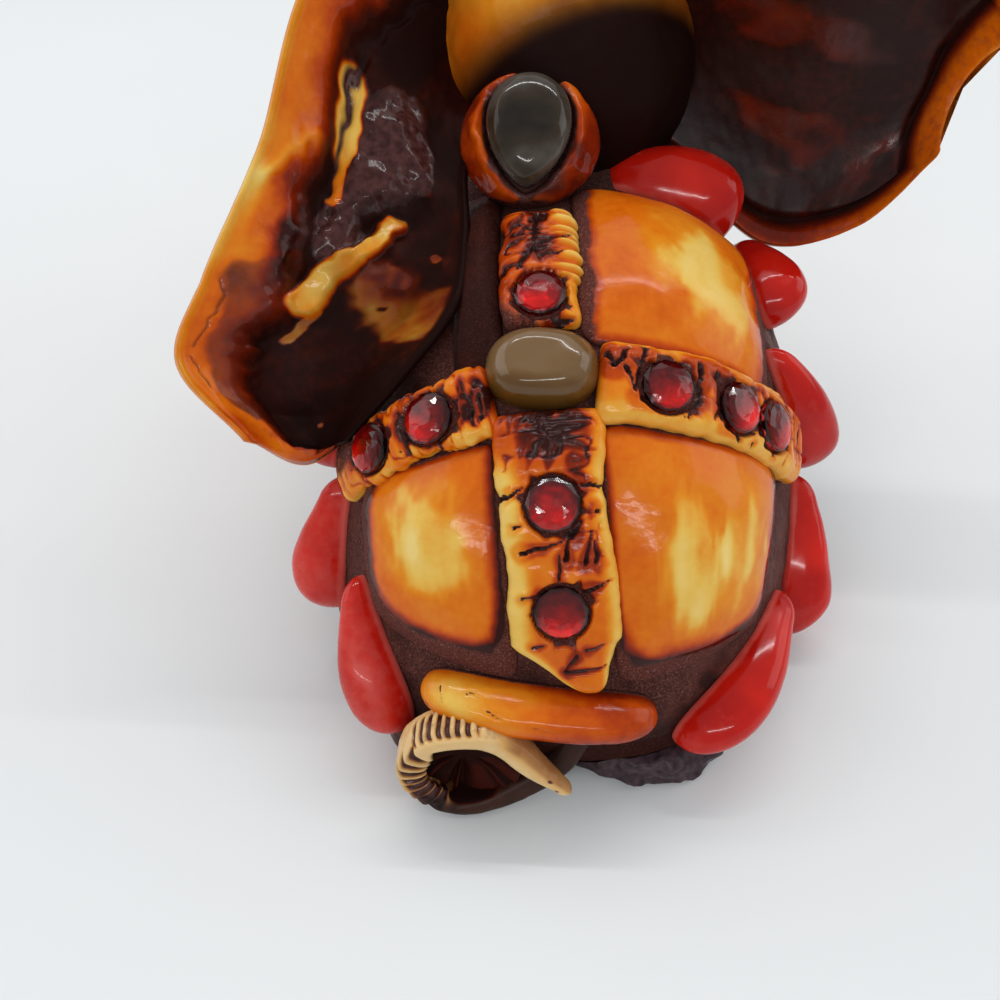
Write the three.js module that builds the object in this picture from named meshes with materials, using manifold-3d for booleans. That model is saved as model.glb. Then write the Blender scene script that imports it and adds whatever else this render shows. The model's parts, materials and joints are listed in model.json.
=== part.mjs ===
// Elephant figurine with a jewelled saddle blanket, hand built from clay pieces laid over one body.
// Millimetres, Z up. The elephant looks along -Y, its left side is +X and its soles stand on Z = 0.
import * as THREE from 'three';
import { mergeVertices } from 'three/addons/utils/BufferGeometryUtils.js';
import Module from 'manifold-3d';

const wasm = await Module();
wasm.setup();

// Fits shared by all pieces
const glueGap = 0.3;
const seam = 0.8;
const weldDistance = 1e-4;

// Body: a dome, round in its side view and squarish across, cut flat at the belly
const bodyHalfWidth = 36;
const bodyRise = 54;
const bodyRearReach = 54;
const bodyFrontReach = 44;
const bodyCentreY = -14;
const bodyCentreZ = 3;
const bodySquareness = 2.5;
const bellyHeight = 6;
const bodyTop = bodyCentreZ + bodyRise;
const bodyRear = bodyCentreY + bodyRearReach;
const bodyFront = bodyCentreY - bodyFrontReach;

// Neck: a rounded hump of the body that carries the head
const neckSetBack = 18;
const neckDepth = 12;
const neckHalfWidth = 19;
const neckHalfLength = 15;
const neckHalfHeight = 14;

// Blanket layout: distances along the back from the saddle stone to the rear, and across to the left
const blanketTilt = 64;
const rearLean = -0.13;
const frontLean = -0.07;
const rightStrapLean = -0.06;
const leftStrapLean = 0.35;
const leftStrapSet = 2.2;

// Saddle stone
const saddleStoneAlong = 1.3;
const saddleStoneAcross = 3.2;
const saddleStoneWidth = 14.6;
const saddleStoneLength = 10.8;
const saddleStoneHeight = 4.6;

// Red glass rhinestones and their pockets
const gemDiameter = 7;
const gemTable = 4;
const gemCrown = 1.3;
const gemGirdle = 1.1;
const gemSunk = 0.9;
const gemSides = 12;
const pocketSides = 18;

// Straps: each is as wide as a gem and the clay left on either side of it
const strapThickness = 3;
const rearStrapSide = 3.1;
const rearStrapLength = 35.4;
const rearStrapPoint = 7;
const rearStrapPointShift = 0.46;
const frontStrapSide = 1.7;
const frontStrapEndSide = 1.3;
const frontStrapLength = 20;
const rightStrapSide = 2;
const rightStrapLength = 35;
const leftStrapSide = 1.1;
const leftStrapLength = 24;

// Blanket panels: their swelling, and how far they reach from the middle of the back
const panelCrown = 2.6;
const panelRim = 0.9;
const rearPanelReach = 30;
const frontPanelReach = 27;
const frontLeftPanelReach = 14;
const frontPanelTop = -36;
const panelCornerDrop = 4;

// Red drops and hem roll
const dropPitch = 20;
const dropWidth = 7.6;
const dropHeight = 6.8;
const collarDropWidth = 8.8;
const collarDropHeight = 9.4;
const hemRollLength = 31;
const hemRollWidth = 6.8;
const hemRollHeight = 5.8;
const hemRollAcross = 1.6;

// Head, turned and tipped to its left
const headCentreX = 3;
const headSetBack = 9;
const headLift = 8;
const headHalfWidth = 20;
const headHalfLength = 21;
const headHalfHeight = 22;
const headTurn = 20;
const headTip = 7;
const eyeDiameter = 4.4;

// Nape mount, placed from the head's centre, with its droplet stone
const napeMountSide = 4;
const napeMountBack = 23.5;
const napeMountDown = 2;
const napeMountRim = 3.3;
const napeMountEnd = 1.5;
const napeMountDepth = 11;
const napeMountLean = 48;
const napeStoneWidth = 13.4;
const napeStoneLength = 16;
const napeStoneHeight = 4.4;
const napeStoneSunk = 1.2;

// Trunk and tusks, in the head's own frame
const trunkRootRadius = 10.5;
const trunkTipRadius = 4.2;
const trunkFloorGap = 3.8;
const trunkReach = 9;
const trunkCurl = 13;
const tuskRadius = 2.8;
const tuskLength = 20;

// Ears: their edges are set out in shares of the ear's span
const earSpan = 50;
const earThickness = 3.6;
const earHollow = 9;

// Legs: front columns set against the chest, hind feet under the belly
const legSpread = 14.5;
const frontLegRadius = 9.8;
const frontLegHeight = 36;
const frontLegSetBack = 6;
const hindFootRadius = 9.6;
const hindFootSetBack = 10.5;

// Tail: a flattened coil that loops up from the floor and ends in a free tip
const tailLoopX = 11.3;
const tailLoopRadius = 7.8;
const tailThickness = 2.6;
const tailTipThickness = 4;
const tailDepth = 6.4;
const tailTipDepth = 4;
const tailFloorThickness = 1.6;
const tailLift = 0.2;

const clay = { amber: 0xd9811f, brown: 0x4a1f16, cream: 0xe6cf9a, red: 0x9e1216 };
const radians = THREE.MathUtils.degToRad;
const point = (x, y, z) => new THREE.Vector3(x, y, z);
const elephant = new THREE.Group();

function addPiece(name, geometry, colour, roughness, parent = elephant) {
  geometry.computeVertexNormals();
  const material = new THREE.MeshStandardMaterial({ color: colour, roughness, metalness: 0 });
  const mesh = new THREE.Mesh(geometry, material);
  mesh.name = name;
  parent.add(mesh);
  return mesh;
}

// Solids for cuts and joins
function solidOf(geometry) {
  const bare = new THREE.BufferGeometry();
  bare.setAttribute('position', geometry.getAttribute('position').clone());
  bare.setIndex(geometry.index ? geometry.index.clone() : null);
  const welded = mergeVertices(bare, weldDistance);
  const vertProperties = new Float32Array(welded.getAttribute('position').array);
  const triVerts = new Uint32Array(welded.index.array);
  return new wasm.Manifold(new wasm.Mesh({ numProp: 3, vertProperties, triVerts }));
}

function geometryOf(solid) {
  const mesh = solid.getMesh();
  const geometry = new THREE.BufferGeometry();
  geometry.setAttribute('position', new THREE.BufferAttribute(mesh.vertProperties, 3));
  geometry.setIndex(new THREE.BufferAttribute(mesh.triVerts, 1));
  return geometry;
}

function cut(geometry, ...cutters) {
  let solid = solidOf(geometry);
  for (const cutter of cutters) {
    solid = solid.subtract(solidOf(cutter));
  }
  return geometryOf(solid);
}

// A closed solid over rings of equal count, its two ends closed by fans
function skin(rings) {
  const count = rings[0].length;
  const points = rings.flat();
  const middleOf = (ring) => ring.reduce((sum, p) => sum.add(p), point(0, 0, 0)).divideScalar(count);
  const firstHub = points.push(middleOf(rings[0])) - 1;
  const lastHub = points.push(middleOf(rings.at(-1))) - 1;
  const lastRing = (rings.length - 1) * count;
  const faces = [];
  for (let step = 0; step < count; step++) {
    const next = (step + 1) % count;
    for (let base = 0; base < lastRing; base += count) {
      faces.push(base + step, base + next, base + next + count);
      faces.push(base + step, base + next + count, base + step + count);
    }
    faces.push(firstHub, next, step);
    faces.push(lastHub, lastRing + step, lastRing + next);
  }
  return facingOut(points, faces);
}

function facingOut(points, faces) {
  let volume = 0;
  for (let i = 0; i < faces.length; i += 3) {
    const [a, b, c] = [points[faces[i]], points[faces[i + 1]], points[faces[i + 2]]];
    volume += a.dot(b.clone().cross(c));
  }
  const geometry = new THREE.BufferGeometry().setFromPoints(points);
  geometry.setIndex(volume > 0 ? faces : faces.toReversed());
  return geometry;
}

// The body's skin, grown by a margin: the point that lies out from its heart through a given point
function onBody(through, height, growth = 0) {
  const heart = point(0, bodyCentreY, bodyCentreZ);
  const out = through.clone().sub(heart);
  const reach = out.y > 0 ? bodyRearReach : bodyFrontReach;
  const radii = point(bodyHalfWidth + growth, reach + growth, bodyRise + growth);
  const unit = out.clone().divide(radii);
  const inPlane = Math.hypot(unit.y, unit.z);
  const n = bodySquareness;
  const size = (Math.abs(unit.x) ** n + inPlane ** n) ** (1 / n);
  unit.divideScalar(size);
  const planeSlope = (inPlane / size) ** (n - 2);
  const sideSlope = Math.sign(unit.x) * Math.abs(unit.x) ** (n - 1);
  const normal = point(sideSlope, unit.y * planeSlope, unit.z * planeSlope).divide(radii).normalize();
  const place = heart.add(unit.multiply(radii)).addScaledVector(normal, height);
  return { place, normal };
}

// Directions from the heart of the body: around its side profile, and out to its left
function bodyDirection(around, outward) {
  const inPlane = Math.cos(outward);
  return point(Math.sin(outward), inPlane * Math.cos(around), inPlane * Math.sin(around));
}

function bodyGeometry(growth, flatAt) {
  const rows = 22;
  const columns = 34;
  const rings = [];
  for (let row = 1; row < rows; row++) {
    const outward = Math.PI * (row / rows - 0.5);
    const ring = [];
    for (let column = 0; column < columns; column++) {
      const direction = bodyDirection((2 * Math.PI * column) / columns, outward);
      const through = direction.multiplyScalar(bodyRise).add(point(0, bodyCentreY, bodyCentreZ));
      ring.push(onBody(through, 0, growth).place);
    }
    rings.push(ring);
  }
  const under = new THREE.BoxGeometry(4 * bodyHalfWidth, 4 * bodyRearReach, 4 * bodyRise);
  under.translate(0, bodyCentreY, flatAt - 2 * bodyRise);
  return cut(skin(rings), under);
}

// The place on the blanket at a distance along the back and a distance across it, both on the skin
function acrossAngle(across) {
  const steps = 90;
  let travelled = 0;
  let before = onBody(point(0, bodyCentreY, bodyCentreZ + bodyRise), 0).place;
  for (let step = 1; step <= steps; step++) {
    const direction = bodyDirection(Math.PI / 2, (Math.PI / 2) * (step / steps));
    const after = onBody(direction.add(point(0, bodyCentreY, bodyCentreZ)), 0).place;
    const stride = after.distanceTo(before);
    if (travelled + stride >= Math.abs(across)) {
      const share = (step - 1 + (Math.abs(across) - travelled) / stride) / steps;
      return Math.sign(across) * share * (Math.PI / 2);
    }
    travelled += stride;
    before = after;
  }
  return (Math.sign(across) * Math.PI) / 2;
}

function blanketPoint(along, across) {
  const around = radians(blanketTilt) - along / bodyRise;
  const direction = bodyDirection(around, acrossAngle(across));
  return onBody(direction.add(point(0, bodyCentreY, bodyCentreZ)), 0).place;
}

// A strip laid on the blanket from one place to another; widths and heights follow the share of its length
const flatBase = [[-0.5, 0], [0, 0], [0.5, 0]];
const bandSection = [[1, 0], [1, 0.6], [0.86, 0.92], [0.4, 1], [-0.4, 1], [-0.86, 0.92], [-1, 0.6], [-1, 0]];
const roundSection = Array.from({ length: 8 }, (unused, i) => {
  const angle = (Math.PI * i) / 7;
  return [Math.cos(angle), Math.sin(angle)];
});
const evenShares = (count) => Array.from({ length: count + 1 }, (unused, i) => i / count);

function strip({ from, to, halfWidthAt, heightAt, section, shares, shiftAt = () => 0, growth = 0 }) {
  const outline = [...section, ...flatBase];
  const heading = to.clone().sub(from).normalize();
  const start = from.clone().addScaledVector(heading, -growth);
  const end = to.clone().addScaledVector(heading, growth);
  const rings = shares.map((share) => {
    const middle = onBody(start.clone().lerp(end, share), 0);
    const side = heading.clone().cross(middle.normal).normalize();
    const half = halfWidthAt(share) + growth;
    return outline.map(([across, up]) => {
      const through = middle.place.clone().addScaledVector(side, across * half + shiftAt(share));
      return onBody(through, glueGap - growth + up * (heightAt(share) + 2 * growth)).place;
    });
  });
  return skin(rings);
}

// A low pad on the blanket whose outline is a rounded four-cornered shape, crowned in the middle
function pad(corners, crown, rim, roundness) {
  const spokes = 24;
  const topLevels = [1, 0.78, 0.4];
  const baseLevels = [0.2, 0.5, 0.78, 1];
  const [innerFront, outerFront, outerRear, innerRear] = corners;
  const ringAt = (share, height) => Array.from({ length: spokes }, (unused, spoke) => {
    const angle = (2 * Math.PI * spoke) / spokes;
    const [x, y] = [Math.cos(angle), Math.sin(angle)];
    const reach = share / (Math.abs(x) ** roundness + Math.abs(y) ** roundness) ** (1 / roundness);
    const outer = (1 + x * reach) / 2;
    const rear = (1 + y * reach) / 2;
    const front = innerFront.clone().lerp(outerFront, outer);
    const back = innerRear.clone().lerp(outerRear, outer);
    return onBody(front.lerp(back, rear), height).place;
  });
  const base = baseLevels.map((share) => ringAt(share, glueGap));
  const top = topLevels.map((share) => ringAt(share, glueGap + rim + (crown - rim) * (1 - share ** 2.4)));
  return skin([...base, ...top]);
}

// Body with its neck, and the same grown by the glue gap, which cuts what is set against it
const headCentreY = bodyFront + headSetBack;
const headCentreZ = bodyTop + headLift;

function neckGeometry(growth) {
  const neck = new THREE.SphereGeometry(1, 24, 16);
  neck.scale(neckHalfWidth + growth, neckHalfLength + growth, neckHalfHeight + growth);
  return neck.translate(headCentreX / 2, bodyFront + neckSetBack, bodyTop - neckDepth);
}

function bodyWithNeck(growth, flatAt) {
  return geometryOf(solidOf(bodyGeometry(growth, flatAt)).add(solidOf(neckGeometry(growth))));
}

addPiece('body', bodyWithNeck(0, bellyHeight), clay.brown, 0.8);
const bodyCutter = bodyWithNeck(glueGap, -bodyRise / 2);
const neckCutter = neckGeometry(glueGap);

// Front legs
function stump(profile, radius, height) {
  const outline = profile.map(([out, up]) => new THREE.Vector2(out * radius, up * height));
  return new THREE.LatheGeometry(outline, 20).rotateX(Math.PI / 2);
}
const columnProfile = [
  [0, 0], [0.95, 0], [1, 0.05], [0.96, 0.14], [0.86, 0.34], [0.92, 0.6], [0.84, 0.8], [0.56, 0.95], [0, 1],
];

for (const [side, sign] of [['left', 1], ['right', -1]]) {
  const column = stump(columnProfile, frontLegRadius, frontLegHeight);
  column.translate(sign * legSpread, bodyFront + frontLegSetBack, 0);
  addPiece(`${side}_front_leg`, cut(column, bodyCutter), clay.brown, 0.6);
}

// Head: an egg with two crown bumps, a trunk root and a jaw, in a frame of its own that is turned and tipped
const headGroup = new THREE.Group();
headGroup.position.set(headCentreX, headCentreY, headCentreZ);
headGroup.rotation.set(0, radians(headTip), radians(headTurn), 'ZYX');
headGroup.updateMatrixWorld(true);
elephant.add(headGroup);
const headSize = point(headHalfWidth, headHalfLength, headHalfHeight);
const onHead = (x, y, z) => point(x, y, z).multiply(headSize);

function headGeometry(growth) {
  const head = new THREE.SphereGeometry(1, 22, 14).rotateX(Math.PI / 2);
  const grown = headSize.clone().addScalar(growth);
  const swells = [
    { at: point(0.42, -0.1, 0.9), by: 0.14, wide: 0.45 },
    { at: point(-0.42, -0.1, 0.9), by: 0.14, wide: 0.45 },
    { at: point(0, -0.9, -0.2), by: 0.2, wide: 0.6 },
    { at: point(0, -0.55, -0.85), by: 0.12, wide: 0.5 },
    { at: point(0.8, -0.62, 0.1), by: -0.08, wide: 0.3 },
    { at: point(-0.8, -0.62, 0.1), by: -0.08, wide: 0.3 },
  ];
  const places = head.getAttribute('position');
  for (let i = 0; i < places.count; i++) {
    const out = point(0, 0, 0).fromBufferAttribute(places, i).normalize();
    let size = 1;
    for (const { at, by, wide } of swells) {
      size += by * Math.exp(-(out.distanceTo(at) ** 2) / wide ** 2);
    }
    places.setXYZ(i, ...out.multiplyScalar(size).multiply(grown));
  }
  return head;
}
const headCutter = headGeometry(glueGap);
const headCutterInPlace = headCutter.clone().applyMatrix4(headGroup.matrixWorld);
const bodyCutterInHead = bodyCutter.clone().applyMatrix4(headGroup.matrixWorld.clone().invert());

function tubeRings(path, steps, sides, radiusAt) {
  const frames = path.computeFrenetFrames(steps, false);
  return evenShares(steps).map((share, step) => {
    const middle = path.getPointAt(share);
    return Array.from({ length: sides }, (unused, side) => {
      const angle = (2 * Math.PI * side) / sides;
      return middle
        .clone()
        .addScaledVector(frames.normals[step], radiusAt(share) * Math.cos(angle))
        .addScaledVector(frames.binormals[step], radiusAt(share) * Math.sin(angle));
    });
  });
}

// Trunk: hangs from the face nearly to the floor and curls forward and up again
const trunkHang = headCentreZ - trunkTipRadius - trunkFloorGap;
const trunkFront = -headHalfLength - trunkReach;
const trunkPath = new THREE.CatmullRomCurve3([
  onHead(0, -0.8, -0.18),
  point(0, trunkFront + trunkReach / 3, -0.21 * trunkHang),
  point(0, trunkFront, -0.47 * trunkHang),
  point(0, trunkFront + trunkReach / 3, -0.74 * trunkHang),
  point(0, trunkFront + trunkReach / 9, -0.95 * trunkHang),
  point(0, trunkFront - 0.62 * trunkCurl, -trunkHang),
  point(0, trunkFront - trunkCurl, -0.88 * trunkHang),
  point(0, trunkFront - 0.62 * trunkCurl, -0.79 * trunkHang),
]);
const trunkRadius = (share) => THREE.MathUtils.lerp(trunkRootRadius, trunkTipRadius, share ** 0.8);
const trunk = skin(tubeRings(trunkPath, 20, 12, trunkRadius));
addPiece('trunk', cut(trunk, headCutter, bodyCutterInHead), clay.brown, 0.5, headGroup);

// Tusks beside the trunk, and bead eyes sunk in the face
let headSolid = cut(headGeometry(0), bodyCutterInHead);
for (const [side, sign] of [['left', 1], ['right', -1]]) {
  const root = onHead(sign * 0.55, -0.71, -0.59);
  const bend = point(sign * 0.1, -0.5, -0.35).multiplyScalar(tuskLength).add(root);
  const tip = point(sign * 0.15, -1, -0.05).multiplyScalar(tuskLength).add(root);
  const taper = (share) => tuskRadius * (1 - 0.8 * share);
  const tusk = skin(tubeRings(new THREE.QuadraticBezierCurve3(root, bend, tip), 8, 10, taper));
  addPiece(`${side}_tusk`, cut(tusk, headCutter), clay.cream, 0.3, headGroup);
  const eyeAt = onHead(sign * 0.76, -0.62, 0.18);
  const socket = new THREE.SphereGeometry(eyeDiameter / 2 + glueGap, 12, 8).translate(...eyeAt);
  const eye = new THREE.SphereGeometry(eyeDiameter / 2, 10, 7).translate(...eyeAt);
  headSolid = cut(headSolid, socket);
  addPiece(`${side}_eye`, eye, 0x1a0d08, 0.1, headGroup);
}
addPiece('head', headSolid, clay.amber, 0.4, headGroup);

// Nape mount: a clay cushion at the back of the neck that holds a droplet stone, its face leaning back
const napeFrame = new THREE.Matrix4().makeRotationX(radians(napeMountLean - 90));
napeFrame.setPosition(headCentreX + napeMountSide, headCentreY + napeMountBack, headCentreZ - napeMountDown);
const napeFace = napeMountDepth / 2;

// The outline of a droplet with its point to the rear, as a ring at one height
function dropletRing(width, length, height) {
  const corners = 24;
  return Array.from({ length: corners }, (unused, i) => {
    const angle = (2 * Math.PI * i) / corners;
    const narrowing = Math.abs(Math.sin(angle / 2)) ** 0.8;
    return point((width / 2) * Math.sin(angle) * narrowing, (length / 2) * Math.cos(angle), height);
  });
}
const dropletStone = skin(
  [[1, -napeStoneSunk], [1, 0.25], [0.88, 0.62], [0.62, 0.88], [0.3, 1]].map(([share, up]) => {
    const rise = up < 0 ? up : up * (napeStoneHeight - napeStoneSunk);
    return dropletRing(share * napeStoneWidth, share * napeStoneLength, napeFace + rise);
  }),
);
const dropletPocket = skin(
  [-napeStoneSunk - glueGap, napeStoneHeight].map((rise) => {
    return dropletRing(napeStoneWidth + 2 * glueGap, napeStoneLength + 2 * glueGap, napeFace + rise);
  }),
);

function napeCushion(growth) {
  const cushion = new THREE.SphereGeometry(1, 22, 12).rotateX(Math.PI / 2);
  cushion.scale(
    napeStoneWidth / 2 + napeMountRim + growth,
    napeStoneLength / 2 + napeMountEnd + growth,
    napeMountDepth / 2 + growth,
  );
  return cushion;
}
const napeMount = cut(napeCushion(0), dropletPocket).applyMatrix4(napeFrame);
const napeCutter = napeCushion(glueGap).applyMatrix4(napeFrame);
addPiece('nape_mount', cut(napeMount, headCutterInPlace, bodyCutter), clay.amber, 0.4);
addPiece('nape_stone', dropletStone.applyMatrix4(napeFrame), 0x3a3a30, 0.15);

// Gems: flat-backed stones with a table and sloping facets, each in a pocket of its strap
function gemGeometry() {
  const girdle = gemDiameter / 2;
  const base = -gemSunk;
  const outline = [
    new THREE.Vector2(0, base),
    new THREE.Vector2(girdle, base),
    new THREE.Vector2(girdle, base + gemGirdle),
    new THREE.Vector2(gemTable / 2, base + gemGirdle + gemCrown),
    new THREE.Vector2(0, base + gemGirdle + gemCrown),
  ];
  return new THREE.LatheGeometry(outline, gemSides).rotateX(Math.PI / 2);
}

function pocketGeometry() {
  const radius = gemDiameter / 2 + glueGap;
  const depth = gemSunk + glueGap;
  const height = depth + strapThickness;
  const pocket = new THREE.CylinderGeometry(radius, radius, height, pocketSides);
  return pocket.rotateX(Math.PI / 2).translate(0, 0, height / 2 - depth);
}

function gemFrame(place) {
  const { place: spot, normal } = onBody(place, glueGap + strapThickness);
  const turn = new THREE.Quaternion().setFromUnitVectors(point(0, 0, 1), normal);
  return new THREE.Matrix4().compose(spot, turn, point(1, 1, 1));
}

function addStrap(name, route, gems) {
  const band = { heightAt: () => strapThickness, section: bandSection, ...route };
  const pockets = gems.map(([, place]) => pocketGeometry().applyMatrix4(gemFrame(place)));
  addPiece(name, cut(strip(band), ...pockets, napeCutter), clay.amber, 0.35);
  for (const [gemName, place] of gems) {
    const gem = addPiece(gemName, gemGeometry(), clay.red, 0.08);
    gem.applyMatrix4(gemFrame(place));
  }
}

// Straps: the spine runs fore and aft from the saddle stone, the side straps run down the flanks
const strapWidth = (side) => gemDiameter + 2 * side;
const rearStrapWidth = strapWidth(rearStrapSide);
const frontStrapWidth = strapWidth(frontStrapSide);
const rightStrapWidth = strapWidth(rightStrapSide);
const leftStrapWidth = strapWidth(leftStrapSide);
const spineHalfWidth = Math.max(saddleStoneWidth, rearStrapWidth, frontStrapWidth) / 2;

const spineAcross = (along) => {
  const past = along - saddleStoneAlong;
  return saddleStoneAcross + past * (past > 0 ? rearLean : frontLean);
};
const rightStrapAlong = (across) => saddleStoneAlong + seam + rightStrapLean * (across - saddleStoneAcross);
const leftStrapAlong = (across) => {
  return saddleStoneAlong + leftStrapSet + leftStrapLean * (across - saddleStoneAcross);
};
const spinePoint = (along) => blanketPoint(along, spineAcross(along));
const rightPoint = (across) => blanketPoint(rightStrapAlong(across), across);
const leftPoint = (across) => blanketPoint(leftStrapAlong(across), across);

const rearStart = saddleStoneAlong + saddleStoneLength / 2 + glueGap;
const rearEnd = rearStart + rearStrapLength;
const frontStart = saddleStoneAlong - saddleStoneLength / 2 - glueGap;
const frontEnd = frontStart - frontStrapLength;
const rightStart = saddleStoneAcross - spineHalfWidth - seam;
const rightEnd = rightStart - rightStrapLength;
const leftStart = saddleStoneAcross + spineHalfWidth + seam;
const leftEnd = leftStart + leftStrapLength;

const pointedHalfWidth = (share) => {
  const toTip = (1 - share) * rearStrapLength;
  return (rearStrapWidth / 2) * Math.min(1, 0.12 + (0.88 * toTip) / rearStrapPoint);
};
const pointShift = (share) => rearStrapPointShift * (pointedHalfWidth(share) - rearStrapWidth / 2);
const frontHalfWidth = (share) => {
  return gemDiameter / 2 + THREE.MathUtils.lerp(frontStrapSide, frontStrapEndSide, share);
};
const leftRoute = {
  from: leftPoint(leftStart),
  to: leftPoint(leftEnd),
  halfWidthAt: () => leftStrapWidth / 2,
  shares: evenShares(9),
};

addStrap(
  'rear_strap',
  {
    from: spinePoint(rearStart),
    to: spinePoint(rearEnd),
    halfWidthAt: pointedHalfWidth,
    shiftAt: pointShift,
    shares: evenShares(14),
  },
  [
    ['rear_gem_upper', spinePoint(rearStart + 0.33 * rearStrapLength)],
    ['rear_gem_lower', spinePoint(rearStart + 0.7 * rearStrapLength)],
  ],
);
addStrap(
  'front_strap',
  {
    from: spinePoint(frontStart),
    to: spinePoint(frontEnd),
    halfWidthAt: frontHalfWidth,
    shares: evenShares(8),
  },
  [['front_gem', spinePoint(frontStart - 0.21 * frontStrapLength)]],
);
addStrap(
  'right_strap',
  {
    from: rightPoint(rightStart),
    to: rightPoint(rightEnd),
    halfWidthAt: () => rightStrapWidth / 2,
    shares: evenShares(13),
  },
  [
    ['right_gem_inner', rightPoint(rightStart - 0.21 * rightStrapLength)],
    ['right_gem_middle', rightPoint(rightStart - 0.5 * rightStrapLength)],
    ['right_gem_outer', rightPoint(rightStart - 0.71 * rightStrapLength)],
  ],
);
addStrap('left_strap', leftRoute, [
  ['left_gem_inner', leftPoint(leftStart + 0.23 * leftStrapLength)],
  ['left_gem_outer', leftPoint(leftStart + 0.62 * leftStrapLength)],
]);

// Saddle stone between the straps
const saddleCorners = [[-1, -1], [-1, 1], [1, 1], [1, -1]].map(([rear, left]) => blanketPoint(
  saddleStoneAlong + (rear * saddleStoneLength) / 2,
  saddleStoneAcross + (left * saddleStoneWidth) / 2,
));
addPiece('saddle_stone', pad(saddleCorners, saddleStoneHeight, saddleStoneHeight / 2, 2.6), 0x6d5a35, 0.2);

// Blanket panels in the four fields between the straps
const hemRollAlong = rearEnd + glueGap + hemRollWidth / 2;
const hemFront = hemRollAlong - hemRollWidth / 2 - seam;
const besideSpine = (along, width, sign) => spineAcross(along) + sign * (width / 2 + seam);
const panelCorners = {
  rear_right_panel: () => {
    const inner = rightStrapAlong(rightStart) + rightStrapWidth / 2 + seam;
    const outer = rightStrapAlong(-rearPanelReach) + rightStrapWidth / 2 + seam;
    return [
      [inner, besideSpine(inner, rearStrapWidth, -1)],
      [outer, -rearPanelReach - panelCornerDrop],
      [hemFront - panelCornerDrop, -rearPanelReach],
      [hemFront, besideSpine(hemFront, rearStrapWidth, -1)],
    ];
  },
  rear_left_panel: () => {
    const inner = leftStrapAlong(leftStart) + leftStrapWidth / 2 + seam;
    const outer = leftStrapAlong(rearPanelReach) + leftStrapWidth / 2 + seam;
    return [
      [inner, besideSpine(inner, rearStrapWidth, 1)],
      [outer, rearPanelReach],
      [hemFront - panelCornerDrop, rearPanelReach - panelCornerDrop],
      [hemFront, besideSpine(hemFront, rearStrapWidth, 1)],
    ];
  },
  front_right_panel: () => {
    const inner = rightStrapAlong(rightStart) - rightStrapWidth / 2 - seam;
    const outer = rightStrapAlong(-frontPanelReach) - rightStrapWidth / 2 - seam;
    return [
      [inner, besideSpine(inner, frontStrapWidth, -1)],
      [outer, -frontPanelReach - panelCornerDrop],
      [frontPanelTop + panelCornerDrop, -frontPanelReach],
      [frontPanelTop, besideSpine(frontPanelTop, frontStrapWidth, -1)],
    ];
  },
  front_left_panel: () => {
    const inner = saddleStoneAlong - saddleStoneLength / 4;
    const outer = leftStrapAlong(frontLeftPanelReach) - leftStrapWidth / 2 - seam;
    return [
      [inner, besideSpine(inner, frontStrapWidth, 1)],
      [outer, frontLeftPanelReach],
      [frontPanelTop + panelCornerDrop, frontLeftPanelReach],
      [frontPanelTop, besideSpine(frontPanelTop, frontStrapWidth, 1)],
    ];
  },
};
for (const [name, cornersOf] of Object.entries(panelCorners)) {
  const corners = cornersOf().map(([along, across]) => blanketPoint(along, across));
  const panel = pad(corners, panelCrown, panelRim, 3.6);
  const inFront = name.startsWith('front');
  addPiece(name, inFront ? cut(panel, neckCutter, napeCutter) : panel, clay.amber, 0.25);
}

// Red drops hung round the edge of the blanket: narrow end and round end as [along, across]
const leftTip = leftStrapAlong(leftEnd);
const step = (share) => share * dropPitch;
const dropRoutes = {
  right_drop_1: [
    [frontPanelTop - step(0.35), -step(0.2)],
    [frontPanelTop - step(0.25), -frontPanelReach + step(0.17)],
  ],
  right_drop_2: [
    [frontPanelTop - step(0.25), -frontPanelReach - step(0.05)],
    [frontPanelTop + step(0.62), -frontPanelReach - step(0.35)],
  ],
  right_drop_3: [
    [frontPanelTop + step(1.1), -frontPanelReach - step(0.3)],
    [-step(0.05), rightEnd - step(0.65)],
  ],
  right_drop_4: [
    [step(0.3), rightEnd - step(0.55)],
    [hemRollAlong + step(0.7), -rearPanelReach - step(0.9)],
  ],
  right_drop_5: [
    [hemFront - step(0.2), -rearPanelReach - step(0.55)],
    [hemRollAlong + step(0.45), -rearPanelReach + step(0.6)],
  ],
  left_drop_1: [
    [frontPanelTop - step(0.2), frontPanelReach - step(0.45)],
    [frontPanelTop - step(0.1), frontPanelReach + step(0.3)],
  ],
  left_drop_2: [
    [frontPanelTop + step(0.15), frontPanelReach + step(0.5)],
    [frontPanelTop + step(0.6), frontPanelReach + step(1.1)],
  ],
  left_drop_3: [
    [frontPanelTop + step(1.2), frontPanelReach + step(0.65)],
    [leftTip - step(0.4), leftEnd + step(0.95)],
  ],
  left_drop_4: [
    [leftTip + step(0.05), leftEnd + step(0.1)],
    [hemRollAlong + step(0.15), rearPanelReach + step(0.65)],
  ],
  left_drop_5: [
    [hemFront - step(0.4), rearPanelReach + step(0.05)],
    [hemRollAlong + step(0.55), rearPanelReach - step(0.45)],
  ],
};
const dropSwell = (share) => Math.sin(Math.PI * (0.02 + 0.96 * share) ** 1.4) ** 0.48;
const bluntSwell = (share) => Math.sin(Math.PI * (0.03 + 0.94 * share) ** 1.1) ** 0.4;

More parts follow.
